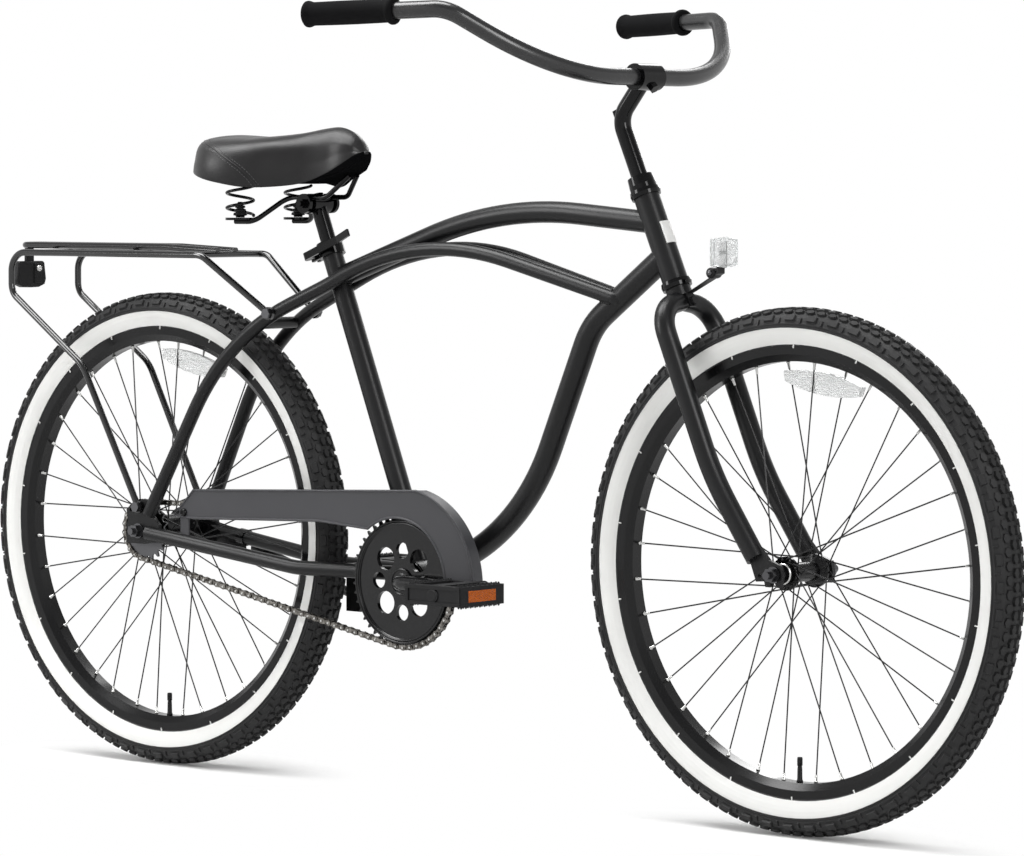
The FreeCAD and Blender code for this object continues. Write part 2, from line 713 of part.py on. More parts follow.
end_play = size("end_play", 0.3)
front_half = front_shell_length / 2
front_axle_body = turned_body("front_axle_rod", axle_outline(
    front_spacing, dropout_thickness, front_half + end_play, front_half + end_play), (front_axle_x, 0.0, axle_z))
front_nuts = doc.addObject("Part::Feature", "front_axle_nut_set")
front_nuts.Shape = Part.Compound(axle_nuts(front_axle, front_spacing, dropout_thickness))
group("front_axle", [front_axle_body, front_nuts])
build_wheel("front", (front_axle_x, axle_z), hub_outline(
    front_flange_radius, front_flange_span, front_barrel_radius, front_half, front_half,
    front_barrel_radius), front_flange_radius, front_flange_span, front_reflector_turn)

driver_end = chain_line + 4
rear_axle_body = turned_body("rear_axle_rod", axle_outline(
    rear_spacing, dropout_thickness, driver_end + end_play, rear_shell_left + end_play), (rear_axle_x, 0.0, axle_z))
rear_nuts = doc.addObject("Part::Feature", "rear_axle_nut_set")
rear_nuts.Shape = Part.Compound(axle_nuts(rear_axle, rear_spacing, dropout_thickness))
group("rear_axle", [rear_axle_body, rear_nuts])
build_wheel("rear", (rear_axle_x, axle_z), hub_outline(
    rear_flange_radius, rear_flange_span, rear_barrel_radius, rear_shell_right, rear_shell_left,
    rear_barrel_radius), rear_flange_radius, rear_flange_span, rear_reflector_turn)

# Chain path round the two sprockets, measured in links
ahead = (bracket - rear_axle).normalize()
above = Vector(-ahead.z, 0, ahead.x)
chain_lean = math.asin((ring_pitch - cog_pitch) / stay_length)
upper_touch = above * math.cos(chain_lean) - ahead * math.sin(chain_lean)
lower_touch = above * -math.cos(chain_lean) - ahead * math.sin(chain_lean)
straight_links = stay_length * math.cos(chain_lean) / float(chain_pitch)
ring_step = 2 * math.pi / float(ring_teeth)
cog_step = 2 * math.pi / float(cog_teeth)
cog_links = (math.pi - 2 * chain_lean) / cog_step
upper_turn = math.atan2(upper_touch.z, upper_touch.x)
lower_turn = math.atan2(lower_touch.z, lower_touch.x)
ring_begins = 2 * straight_links + cog_links
chain_middle = Vector(0, -float(chain_line), 0)


def roller_place(links):
    """Where the roller that many links round the loop sits, from the ring's upper touch."""
    if links < straight_links:
        return bracket + upper_touch * ring_pitch - (
            bracket + upper_touch * ring_pitch - rear_axle - upper_touch * cog_pitch) * (links / straight_links)
    if links < straight_links + cog_links:
        turn = upper_turn + (links - straight_links) * cog_step
        return rear_axle + Vector(math.cos(turn), 0, math.sin(turn)) * cog_pitch
    if links < ring_begins:
        share = (links - straight_links - cog_links) / straight_links
        first = rear_axle + lower_touch * cog_pitch
        return first + (bracket + lower_touch * ring_pitch - first) * share
    turn = lower_turn + (links - ring_begins) * ring_step
    return bracket + Vector(math.cos(turn), 0, math.sin(turn)) * ring_pitch


rollers = [roller_place(index) + chain_middle for index in range(chain_links)]
chain_solids = []
inner_face = float(chain_inner_width) / 2
plate_thickness = float(chain_plate)
for index, start in enumerate(rollers):
    end = rollers[(index + 1) % len(rollers)]
    along = (end - start).normalize()
    upright = Vector(-along.z, 0, along.x)
    chain_solids.append(prism(hexagon(start + Vector(0, -inner_face, 0), roller_radius, along, upright),
                              Vector(0, 2 * inner_face, 0)))
    half_height = float(chain_plate_height) / 2
    near = inner_face if index % 2 else inner_face + plate_thickness
    for side in (-1, 1):
        offset = Vector(0, side * near, 0)
        corners = [start - along * half_height, start - along * (half_height * 0.4) + upright * half_height,
                   end + along * (half_height * 0.4) + upright * half_height, end + along * half_height,
                   end + along * (half_height * 0.4) - upright * half_height,
                   start - along * (half_height * 0.4) - upright * half_height]
        chain_solids.append(prism([corner + offset for corner in corners],
                                  Vector(0, side * plate_thickness, 0)))
plain_feature("chain", Part.Compound(chain_solids))


# Sprockets: a turned blank and one tooth repeated round it

def toothed_body(name, blank, teeth, radius, pocket_turn, base):
    body = turned_body(name, blank, base)
    half_turn = math.pi / float(teeth)
    clear = float(roller_radius + tooth_clearance)
    root = radius - clear
    half_pitch = float(chain_pitch) / 2
    turn = pocket_turn + half_turn
    flank = [(root - 2, half_pitch - 2.0), (root, half_pitch - 2.0),
             (radius - clear * 0.68, half_pitch - clear * 0.86), (radius, half_pitch - clear * 1.02),
             (radius + 3.0, 0.9)]
    corners = flank + [(along, -across) for along, across in reversed(flank)]
    outline = [(along * math.cos(turn) - across * math.sin(turn), along * math.sin(turn) + across * math.cos(turn))
               for along, across in corners]
    sketch = outline_sketch(body, name + "_tooth", "XZ_Plane", outline)
    pad = body.newObject("PartDesign::Pad", name + "_tooth_pad")
    pad.Profile = sketch
    pad.Length = float(sprocket_thickness)
    bind(pad, "Length", sprocket_thickness)
    doc.recompute()
    around = body.newObject("PartDesign::PolarPattern", name + "_teeth")
    around.Originals = [pad]
    around.Axis = (sketch, ["N_Axis"])
    around.Angle = 360
    around.Occurrences = int(teeth)
    body.Tip = around
    doc.recompute()
    return body, sketch


ring_dish_radius = size("ring_dish_radius", 82.0)
ring_dish_depth = size("ring_dish_depth", 5.0)
ring_lip_height = size("ring_lip_height", 3.0)
ring_hole_circle = size("ring_hole_circle", 42.0)
ring_large_hole = size("ring_large_hole", 15.5)
ring_small_hole = size("ring_small_hole", 11.0)
ring_boss_radius = size("ring_boss_radius", 17.0)
ring_root = ring_pitch - float(roller_radius + tooth_clearance)
ring_back = sprocket_thickness
ring_blank = [
    (crank_radius, 0.0), (ring_root, 0.0), (ring_root, -ring_back), (ring_dish_radius, -ring_back),
    (ring_dish_radius, -ring_back - ring_dish_depth), (ring_dish_radius - 3, -ring_back - ring_dish_depth),
    (ring_dish_radius - 5, -ring_back - ring_lip_height), (ring_boss_radius, -ring_back - ring_lip_height),
    (ring_boss_radius, -ring_back - ring_dish_depth), (crank_radius, -ring_back - ring_dish_depth)]
ring_pocket = lower_turn + (math.ceil(ring_begins) - ring_begins) * ring_step
chainring, ring_sketch = toothed_body("chainring_plate", ring_blank, ring_teeth, ring_pitch, ring_pocket,
                                      (bracket.x, -chain_line + sprocket_thickness / 2, bracket.z))
ring_holes = []
for step in range(8):
    turn = math.radians(45 * step)
    radius = ring_large_hole if step % 2 else ring_small_hole
    ring_holes.append((float(ring_hole_circle) * math.cos(turn), float(ring_hole_circle) * math.sin(turn), radius))
hole_sketch = outline_sketch(chainring, "chainring_windows", "XZ_Plane", [], ring_holes)
ring_pocket_cut = chainring.newObject("PartDesign::Pocket", "chainring_window_cut")
ring_pocket_cut.Profile = hole_sketch
ring_pocket_cut.Type = "ThroughAll"
ring_pocket_cut.Reversed = True
chainring.Tip = ring_pocket_cut
doc.recompute()

driver_radius = size("driver_radius", 15.0)
cog_root = cog_pitch - float(roller_radius + tooth_clearance)
cog_top = chain_line - sprocket_thickness / 2 - rear_shell_right - end_play
cog_blank = [
    (axle_radius + running_gap, cog_top), (driver_radius, cog_top), (driver_radius, 0.0), (cog_root, 0.0),
    (cog_root, -sprocket_thickness), (driver_radius, -sprocket_thickness),
    (driver_radius, -sprocket_thickness / 2 - 4), (axle_radius + running_gap, -sprocket_thickness / 2 - 4)]
cog_pocket = upper_turn + (math.ceil(straight_links) - straight_links) * cog_step
rear_cog, cog_sketch = toothed_body("rear_cog_plate", cog_blank, cog_teeth, cog_pitch, cog_pocket,
                                    (rear_axle_x, -chain_line + sprocket_thickness / 2, axle_z))
add_piece(rear_cog, "rear_cog")


# Bearings: pressed cups in the bottom bracket and the head tube, with the rings that run inside them
bracket_cup_bore = size("bracket_cup_bore", 17.0)
bracket_cup_depth = size("bracket_cup_depth", 10.0)
steerer_radius = size("steerer_radius", 12.7)
headset_cup_radius = size("headset_cup_radius", 20.5)
headset_race_radius = size("headset_race_radius", 17.0)
headset_cup_height = size("headset_cup_height", 9.5)
cups = []
rings = []
for side in (-1, 1):
    face = half_shell * side
    inside = (half_shell - bracket_cup_depth) * side
    lip = (half_shell + cup_lip) * side
    name = "right" if side < 0 else "left"
    cups.append(turned_body(name + "_bracket_cup", [
        (bracket_cup_bore, inside), (bracket_bore, inside), (bracket_bore, face),
        (bracket_shell_radius - 1, face), (bracket_shell_radius - 1, lip), (bracket_cup_bore, lip)], bracket))
    rings.append(turned_body(name + "_bracket_race", [
        (crank_radius + running_gap, inside), (bracket_cup_bore, inside),
        (bracket_cup_bore, face), (crank_radius + running_gap, face)], bracket))
for name, foot in (("lower", head_bottom - headset_cup_height), ("upper", head_bottom + head_length)):
    cups.append(turned_body(name + "_headset_cup", [
        (headset_race_radius, 0.0), (headset_cup_radius - 1, 0.0), (headset_cup_radius, headset_cup_height / 2),
        (headset_cup_radius - 1, headset_cup_height), (headset_race_radius, headset_cup_height)],
        on_steer(foot), steer_turn, "XZ_Plane"))
    rings.append(turned_body(name + "_headset_race", [
        (steerer_radius + running_gap, 0.5), (headset_race_radius, 0.5),
        (headset_race_radius, headset_cup_height - 0.5), (steerer_radius + running_gap, headset_cup_height - 0.5)],
        on_steer(foot), steer_turn, "XZ_Plane"))
group("bearing_cups", cups)
group("bearing_rings", rings)

# One-piece crank with tapered arms, and the pedal spindles screwed into its eyes
crank_tip_radius = size("crank_tip_radius", 7.4)
crank_neck = size("crank_neck", 42.0)
spindle_radius = size("spindle_radius", 6.5)
spindle_length = size("spindle_length", 104.0)
pedal_eyes = [bracket + Vector(crank_length, -crank_tread, 0), bracket + Vector(-crank_length, crank_tread, 0)]
crank_corners = [bracket + Vector(0, -crank_root, 0), bracket + Vector(0, crank_root, 0)]
necks = [corner + (eye - corner).normalize() * float(crank_neck) for corner, eye in zip(crank_corners, pedal_eyes)]
crank_shape = rod([necks[0]] + crank_corners + [necks[1]], [float(crank_bend_radius)] * 2, crank_radius)
spindles = []
for neck, eye, side in zip(necks, pedal_eyes, (-1, 1)):
    arm = Part.makeCone(float(crank_radius), float(crank_tip_radius), neck.distanceToPoint(eye), neck, eye - neck)
    half_eye = Vector(0, float(crank_eye_thickness) / 2, 0)
    crank_shape = crank_shape.fuse([arm, bar(eye - half_eye, eye + half_eye, crank_eye_radius)])
    inner_end = eye - half_eye * side
    spindles.append(bar(inner_end, inner_end + Vector(0, side * float(spindle_length), 0), spindle_radius))
crank_shape = crank_shape.cut(spindles).removeSplitter()
crank = plain_feature("crank", crank_shape)
ring_on_crank = doc.addObject("Part::Cut", "chainring_on_crank")
ring_on_crank.Base = chainring
ring_on_crank.Tool = crank
add_piece(ring_on_crank, "chainring")
plain_feature("pedal_spindles", Part.Compound(spindles))

# Pedals: an open plastic platform turning on each spindle, with a reflector let into each long edge
pedal_length = size("pedal_length", 96.0)
pedal_width = size("pedal_width", 86.0)
pedal_height = size("pedal_height", 26.0)
pedal_rail = size("pedal_rail", 12.0)
pedal_cheek = size("pedal_cheek", 9.0)
pedal_sleeve = size("pedal_sleeve", 11.0)
pedal_gap = size("pedal_gap", 2.0)
lens_length = size("lens_length", 54.0)
lens_height = size("lens_height", 15.0)
lens_depth = size("lens_depth", 4.0)


def box_object(name, corner, spans):
    """A block from its low corner and its three spans, tied to the sheet."""
    block = doc.addObject("Part::Box", name)
    for prop, value in zip(("Length", "Width", "Height"), spans):
        setattr(block, prop, float(value))
        bind(block, prop, value)
    block.Placement = Placement(Vector(*[float(part) for part in corner]), Rotation())
    return block


def cut_object(name, base, tools):
    tool = doc.addObject("Part::Compound", name + "_tools")
    tool.Links = tools
    result = doc.addObject("Part::Cut", name)
    result.Base = base
    result.Tool = tool
    return result


for name, eye, side in (("right", pedal_eyes[0], -1), ("left", pedal_eyes[1], 1)):
    near = float(crank_eye_thickness / 2 + pedal_gap)
    low_y = eye.y + side * near if side > 0 else eye.y + side * (near + float(pedal_width))
    block = box_object(name + "_pedal_block", (eye.x - pedal_length / 2, low_y, eye.z - pedal_height / 2),
                       (pedal_length, pedal_width, pedal_height))
    tools = []
    lenses = []
    for way in (-1, 1):
        window_span = pedal_length / 2 - pedal_rail - pedal_sleeve
        window_x = eye.x + pedal_sleeve if way > 0 else eye.x - pedal_sleeve - window_span
        tools.append(box_object("%s_pedal_window_%d" % (name, way + 1),
                                (window_x, low_y + pedal_cheek, eye.z - pedal_height),
                                (window_span, pedal_width - pedal_cheek * 2, pedal_height * 2)))
        lens_x = eye.x + pedal_length / 2 - lens_depth if way > 0 else eye.x - pedal_length / 2
        lenses.append(box_object("%s_pedal_lens_%d" % (name, way + 1),
                                 (lens_x, low_y + pedal_width / 2 - lens_length / 2, eye.z - lens_height / 2),
                                 (lens_depth, lens_length, lens_height)))
    sleeve_hole = doc.addObject("Part::Cylinder", name + "_pedal_bore")
    sleeve_hole.Radius = float(spindle_radius + running_gap)
    bind(sleeve_hole, "Radius", spindle_radius + running_gap)
    sleeve_hole.Height = float(pedal_width + 20)
    sleeve_hole.Placement = Placement(Vector(eye.x, low_y - 10, eye.z), Rotation(Vector(1, 0, 0), -90))
    add_piece(cut_object(name + "_pedal_body", block, tools + lenses + [sleeve_hole]), name + "_pedal")
    group(name + "_pedal_reflectors", lenses)

# Chain guard: a face plate over the upper chain run with a rim turned in round its edge
guard_face = size("guard_face", 59.5)
guard_sheet = size("guard_sheet", 1.6)
guard_rim = size("guard_rim", 19.0)
guard_nose_ahead = size("guard_nose_ahead", 9.0)
guard_nose_radius = size("guard_nose_radius", 127.0)
guard_ring_radius = size("guard_ring_radius", 87.0)
guard_tail_short = size("guard_tail_short", 72.9)
guard_tail_rise = size("guard_tail_rise", 70.0)
guard_slope_length = size("guard_slope_length", 38.0)
guard_slope_rise = size("guard_slope_rise", 107.0)
guard_tail_back = stay_length - float(guard_tail_short)
guard_slope_back = guard_tail_back - float(guard_slope_length)
nose_start = 78.0
nose_end = 2.0


def round_point(centre_x, radius, turn):
    angle = math.radians(turn)
    return (float(centre_x) + float(radius) * math.cos(angle), float(radius) * math.sin(angle))


def nose_arc(radius):
    begin = round_point(guard_nose_ahead, radius, nose_start)
    middle = round_point(guard_nose_ahead, radius, (nose_start + nose_end) / 2)
    finish = round_point(guard_nose_ahead, radius, nose_end)
    return begin, middle, finish


outer_begin, outer_middle, outer_finish = nose_arc(guard_nose_radius)
ring_begin = round_point(0, guard_ring_radius, 4)
ring_middle = round_point(0, guard_ring_radius, 66)
ring_finish = round_point(0, guard_ring_radius, 127)
guard_outline = [
    (-guard_tail_back, guard_tail_rise), (-guard_slope_back, guard_slope_rise), outer_begin,
    outer_finish + outer_middle, ring_begin, ring_finish + ring_middle,
    (-142.0, guard_tail_rise + 6), (-guard_slope_back, guard_tail_rise - 2)]
guard = plate_body("chain_guard_sheet", guard_outline, guard_sheet, (bracket.x, -guard_face, bracket.z))
inner_begin, inner_middle, inner_finish = nose_arc(guard_nose_radius - guard_sheet)
rim_sketch = outline_sketch(guard, "chain_guard_rim_outline", "XZ_Plane", [
    (-guard_slope_back, guard_slope_rise), outer_begin, outer_finish + outer_middle, inner_finish,
    inner_begin + inner_middle, (-guard_slope_back, guard_slope_rise - guard_sheet)])
rim_pad = guard.newObject("PartDesign::Pad", "chain_guard_rim")
rim_pad.Profile = rim_sketch
rim_pad.Length = float(guard_rim)
bind(rim_pad, "Length", guard_rim)
rim_pad.Reversed = True
guard.Tip = rim_pad
standoff_height = size("standoff_height", 120.0)
standoff_radius = size("standoff_radius", 5.0)
standoff = doc.addObject("Part::Feature", "chain_guard_standoff")
standoff.Shape = bar(on_seat(standoff_height), on_seat(standoff_height, -guard_face), standoff_radius).cut(seat_block)
tab_half = size("tab_half", 8.0)
tab_back = guard_tail_back - float(guard_slope_length) / 2
tab = doc.addObject("Part::Feature", "chain_guard_tab")
tab.Shape = Part.makeBox(2 * float(tab_half), 2.5, float(guard_tail_rise) - 20,
                         Vector(bracket.x - tab_back - tab_half, -guard_face, bracket.z + 32)).cut(stay_blocks[0])
group("chain_guard", [guard, standoff, tab])

# Coaster brake arm on the left, strapped to the chainstay
arm_thickness = size("arm_thickness", 3.0)
arm_eye = size("arm_eye", 15.0)
arm_reach = size("arm_reach", 92.0)
strap_thickness = size("strap_thickness", 1.6)
strap_length = size("strap_length", 14.0)
arm_face = float(rear_spacing / 2 - arm_thickness - 0.8)
strap_middle = mirrored(centre_height(stay_blocks[0], float(rear_axle.x + arm_reach), float(axle_z) - 12))
stay_run = (mirrored(stay_points[3]) - mirrored(stay_points[2])).normalize()
strap_start = strap_middle - stay_run * (float(strap_length) / 2)
strap_end = strap_middle + stay_run * (float(strap_length) / 2)
strap_block = bar(strap_start, strap_end, chainstay_radius + strap_thickness)
strap = strap_block.cut(stay_blocks[1])
arm_tip = Vector(strap_middle.x, arm_face, strap_middle.z - float(chainstay_radius) - 6)
arm_root = Vector(rear_axle.x, arm_face, rear_axle.z)
arm_up = Vector(0, 0, 1)
arm_plate = prism([arm_root + arm_up * 13, arm_tip + arm_up * 7 + Vector(8, 0, 0),
                   arm_tip - arm_up * 7 + Vector(8, 0, 0), arm_root - arm_up * 13],
                  Vector(0, float(arm_thickness), 0))
arm_disc = bar(arm_root, arm_root + Vector(0, float(arm_thickness), 0), arm_eye)
arm_shape = arm_plate.fuse(arm_disc).cut([
    bar(arm_root, arm_root + Vector(0, float(arm_thickness), 0), locknut_radius + running_gap),
    strap_block, stay_blocks[1]]).removeSplitter()
arm_solid = max(arm_shape.Solids, key=lambda solid: solid.Volume)
plain_feature("coaster_arm", Part.Compound([arm_solid, max(strap.Solids, key=lambda solid: solid.Volume)]))

# Kickstand: a bracket under the left chainstay and a leg that folds back along it
stand_back = size("stand_back", 166.0)
stand_drop = size("stand_drop", 42.0)
stand_left = size("stand_left", 57.0)
stand_length = size("stand_length", 228.0)
stand_radius = size("stand_radius", 6.5)
stand_lift = size("stand_lift", 60.0)
stand_splay = size("stand_splay", 23.0)
stand_hub_half = size("stand_hub_half", 7.5)
stand_hub_radius = size("stand_hub_radius", 12.0)
stand_pin_radius = size("stand_pin_radius", 5.0)
stand_block_width = size("stand_block_width", 15.0)
stand_pivot = bracket + Vector(-stand_back, stand_left, -stand_drop)
block_outer = float(stand_left - stand_hub_half - end_play)
bracket_shape = Part.makeBox(28, float(stand_block_width), 62, Vector(
    stand_pivot.x - 14, block_outer - float(stand_block_width), stand_pivot.z - 14))
pin_start = Vector(stand_pivot.x, block_outer, stand_pivot.z)
stand_pin = bar(pin_start, pin_start + Vector(0, 2 * float(stand_hub_half) + 2, 0), stand_pin_radius)
bracket_shape = bracket_shape.fuse(stand_pin).cut([stay_blocks[1]])
bracket_solid = max(bracket_shape.Solids, key=lambda solid: solid.CenterOfMass.z * -1)
plain_feature("kickstand_bracket", bracket_solid)
stand_tip = stand_pivot + Vector(-stand_length, stand_splay, stand_lift)
stand_way = (stand_tip - stand_pivot).normalize()
half_hub = Vector(0, stand_hub_half, 0)
stand_shape = bar(stand_pivot - half_hub, stand_pivot + half_hub, stand_hub_radius)
stand_shape = stand_shape.fuse([bar(stand_pivot, stand_tip, stand_radius),
                                bar(stand_tip - stand_way * 24, stand_tip + stand_way * 4, stand_radius + 2.5)])
stand_shape = stand_shape.cut(bar(pin_start, pin_start + Vector(0, 40, 0), stand_pin_radius + running_gap))
plain_feature("kickstand", stand_shape.removeSplitter())

# Fork: steerer, crown and two curved legs, with slotted tips let into the leg ends
steerer_bore = size("steerer_bore", 11.18)
race_below = size("race_below", 14.5)
steerer_over = size("steerer_over", 28.0)
crown_rise = size("crown_rise", 10.0)
crown_bend = size("crown_bend", 42.0)
crown_race_radius = size("crown_race_radius", 16.5)
leg_radius = size("leg_radius", 13.25)
leg_spread = size("leg_spread", 53.0)
leg_knee = size("leg_knee", 150.0)
leg_knee_back = size("leg_knee_back", 4.0)
leg_foot = size("leg_foot", 29.0)
leg_foot_ahead = size("leg_foot_ahead", 19.0)
leg_sweep = size("leg_sweep", 380.0)
head_top = head_bottom + head_length
race_foot = head_bottom - headset_cup_height - end_play
steerer_foot = crown_height + race_below
steerer_top = head_top + steerer_over
fork_tip_outline = [
    (-41.0, 24.0), (-25.0, 36.0), (-8.0, 18.0), (10.0, 12.0), (13.0, -2.0), (11.0, -16.0), (slot_half, -16.0),
    (slot_half, 0.0), (-slot_half, 0.0, 0.0, slot_half), (-slot_half, -16.0), (-13.0, -16.0),
    (-15.0, -9.0), (-28.0, -10.0), (-31.0, -2.0)]
fork_eyelet = (-22.0, -2.0, eyelet_radius)
fork_tips = []
for name, face in (("right", -front_spacing / 2), ("left", front_spacing / 2 + dropout_thickness)):
    fork_tips.append(plate_body(name + "_fork_tip", fork_tip_outline, dropout_thickness,
                                (front_axle.x, face, front_axle.z), [fork_eyelet]))
doc.recompute()
tip_shapes = [tip.Shape for tip in fork_tips]
legs = []
for side in (-1, 1):
    legs.append(rod([on_steer(crown_height + crown_rise, 0, 2.0 * side), on_steer(crown_height, 0, leg_spread * side),
                     on_steer(leg_knee, -leg_knee_back, leg_spread * side),
                     on_steer(leg_foot, leg_foot_ahead, leg_spread * side)], [float(crown_bend), float(leg_sweep)],
                    leg_radius))
steerer = bar(on_steer(steerer_foot), on_steer(steerer_top), steerer_radius)
crown_race = bar(on_steer(steerer_foot), on_steer(race_foot), crown_race_radius)
fork_shape = steerer.fuse([crown_race] + legs)
fork_shape = fork_shape.cut([bar(on_steer(head_bottom + 15), on_steer(steerer_top), steerer_bore)] + tip_shapes)
fork_shape = max(fork_shape.Solids, key=lambda solid: solid.Volume)
plain_feature("fork", fork_shape.removeSplitter())
group("fork_tips", fork_tips)

# Headset top nut, quill stem and binder bolts
locknut_foot = headset_cup_height + end_play
locknut_wide = size("locknut_wide", 18.0)
locknut_narrow = size("locknut_narrow", 16.8)
locknut_height = steerer_over - locknut_foot
add_piece(turned_body("headset_nut", [
    (steerer_radius, 0.0), (locknut_wide, 0.0), (locknut_wide, locknut_height / 3),
    (locknut_narrow, locknut_height), (steerer_radius, locknut_height)],
    on_steer(head_top + locknut_foot), steer_turn, "XZ_Plane"), "headset_locknut")
bar_radius = size("bar_radius", 11.1)
quill_depth = size("quill_depth", 85.0)
stem_rise = size("stem_rise", 142.5)
stem_ahead = size("stem_ahead", 60.0)
stem_climb = size("stem_climb", 31.0)
stem_bend = size("stem_bend", 30.0)
stem_height = head_top + stem_rise
stem_corner = stem_height - stem_climb
clamp_radius = size("clamp_radius", 17.5)
clamp_length = size("clamp_length", 44.0)
bolt_head_radius = size("bolt_head_radius", 7.0)
bar_middle = on_steer(stem_height, stem_ahead)
stem_neck = rod([on_steer(steerer_top - quill_depth), on_steer(stem_corner), bar_middle],
                [float(stem_bend)], bar_radius)
half_clamp = Vector(0, float(clamp_length) / 2, 0)
stem_clamp = bar(bar_middle - half_clamp, bar_middle + half_clamp, clamp_radius)
stem_solid = stem_neck.fuse(stem_clamp)
expander = prism(hexagon(on_steer(stem_corner - 10), bolt_head_radius, steer_ahead, Vector(0, 1, 0)),
                 steer_up * 21).cut(stem_solid)
binder_way = (steer_up * -1 + steer_ahead * 0.4).normalize()
binder_side = binder_way.cross(Vector(0, 1, 0))
binder = prism(hexagon(bar_middle, bolt_head_radius, binder_side, Vector(0, 1, 0)), binder_way * 23).cut(stem_solid)
stem_solid = stem_solid.cut(bar(bar_middle - half_clamp * 2, bar_middle + half_clamp * 2, bar_radius))
stem_main = max(stem_solid.Solids, key=lambda solid: solid.Volume)
plain_feature("stem", Part.Compound([stem_main] + [max(bolt.Solids, key=lambda solid: solid.Volume)
                                                   for bolt in (expander, binder)]))

# Swept-back handlebar and its grips
bar_flat = size("bar_flat", 173.0)
bar_rise = size("bar_rise", 83.0)
bar_rise_out = size("bar_rise_out", 277.0)
bar_rise_back = size("bar_rise_back", 97.0)
bar_end_back = size("bar_end_back", 294.0)
bar_end_out = size("bar_end_out", 320.0)
bar_end_rise = size("bar_end_rise", 79.0)
bar_sweep = size("bar_sweep", 231.0)
bar_corner = size("bar_corner", 48.0)
grip_length = size("grip_length", 128.0)
grip_radius = size("grip_radius", 15.5)
grip_collar_radius = size("grip_collar_radius", 18.0)
grip_cap = size("grip_cap", 4.0)
right_half = [bar_middle + Vector(-bar_end_back, -bar_end_out, bar_end_rise),
              bar_middle + Vector(-bar_rise_back, -bar_rise_out, bar_rise),
              bar_middle + Vector(0, -bar_flat, 0)]
bar_points = right_half + [mirrored(point) for point in reversed(right_half)]
bar_solid = rod(bar_points, [float(bar_corner), float(bar_sweep), float(bar_sweep), float(bar_corner)], bar_radius)
plain_feature("handlebar", bar_solid)
grips = []
for tip, before in ((bar_points[0], bar_points[1]), (bar_points[-1], bar_points[-2])):
    way = (tip - before).normalize()
    outer = tip + way * float(grip_cap)
    inner = tip - way * float(grip_length)
    grip = bar(inner, outer, grip_radius).fuse([
        bar(inner, inner + way * 9, grip_collar_radius), bar(outer - way * 7, outer, grip_collar_radius - 0.8)])
    grips.append(grip.cut(bar(inner - way, tip, bar_radius)).removeSplitter())
plain_feature("grips", Part.Compound(grips))

# Front reflector on a strap bolted to the fork crown
strap_width = size("strap_width", 14.0)
strap_sheet = size("strap_sheet", 2.5)
front_lens_height = size("front_lens_height", 42.0)
front_lens_width = size("front_lens_width", 50.0)
front_lens_depth = size("front_lens_depth", 8.0)
front_lens_rise = size("front_lens_rise", 53.9)
front_lens_ahead = size("front_lens_ahead", 45.0)
crown_front = leg_radius + 0.05
strap_low = on_steer(crown_height - 4, crown_front, -strap_width / 2)
strap_high = on_steer(crown_height + 14, crown_front, -strap_width / 2)
front_lens_middle = strap_high.z + front_lens_rise
sheet_step = steer_ahead * float(strap_sheet)
knee = Vector(strap_high.x + front_lens_ahead + 6, strap_high.y, float(front_lens_middle) - 26)
strap_top = Vector(knee.x, knee.y, float(front_lens_middle) + 14)
back_step = Vector(float(strap_sheet), 0, 0)
strap_shape = prism([strap_low, strap_high, knee, strap_top, strap_top + back_step,
                     knee + back_step + Vector(0, 0, -1), strap_high + sheet_step, strap_low + sheet_step],
                    Vector(0, float(strap_width), 0))
crown_bolt = prism(hexagon(on_steer(crown_height + 3, crown_front + strap_sheet), bolt_head_radius - 1,
                           steer_up, Vector(0, 1, 0)), steer_ahead * 5)
plain_feature("front_reflector_bracket", Part.Compound([strap_shape.cut(fork_shape), crown_bolt]))
add_piece(box_object("front_reflector_block", (
    knee.x + strap_sheet, -front_lens_width / 2, front_lens_middle - front_lens_height / 2),
    (front_lens_depth, front_lens_width, front_lens_height)), "front_reflector")

# Quick-release clamp round the top of the seat tube
collar_height = size("collar_height", 20.0)
collar_foot = seat_tube_length - collar_height
collar_radius = size("collar_radius", 18.2)
ear_inner = size("ear_inner", 3.0)
ear_thickness = size("ear_thickness", 5.0)
ear_reach = size("ear_reach", 33.0)
skewer_back = size("skewer_back", 26.0)
skewer_radius = size("skewer_radius", 2.5)
cam_radius = size("cam_radius", 7.0)
cam_offset = size("cam_offset", 18.5)
lever_length = size("lever_length", 88.0)
lever_width = size("lever_width", 10.0)
lever_thickness = size("lever_thickness", 4.0)
seat_back = Vector(-math.sin(math.radians(seat_angle)), 0, -math.cos(math.radians(seat_angle)))
collar_end = collar_foot + collar_height
collar_shape = bar(on_seat(collar_foot), on_seat(collar_end), collar_radius)
ear_low = on_seat(collar_foot + 3)
ear_high = on_seat(collar_end - 3)
ear_depth = float(ear_inner + ear_thickness)
ears = prism([point + Vector(0, -ear_depth, 0) for point in (
    ear_low, ear_high, ear_high + seat_back * float(ear_reach), ear_low + seat_back * float(ear_reach))],
    Vector(0, 2 * ear_depth, 0))
slit = prism([point + Vector(0, -ear_inner, 0) for point in (
    on_seat(collar_foot - 5), on_seat(collar_end + 5), on_seat(collar_end + 5) + seat_back * (float(ear_reach) + 5),
    on_seat(collar_foot - 5) + seat_back * (float(ear_reach) + 5))], Vector(0, 2 * float(ear_inner), 0))
skewer_middle = on_seat(collar_foot + collar_height / 2) + seat_back * float(skewer_back)
skewer = bar(skewer_middle + Vector(0, -ear_depth - 3, 0), skewer_middle + Vector(0, ear_depth + 6, 0), skewer_radius)
skewer_nut = bar(skewer_middle + Vector(0, ear_depth, 0), skewer_middle + Vector(0, ear_depth + 7, 0), cam_radius)
collar_shape = collar_shape.fuse(ears).cut([slit, seat_block]).fuse([skewer, skewer_nut]).removeSplitter()
plain_feature("seat_clamp", collar_shape)
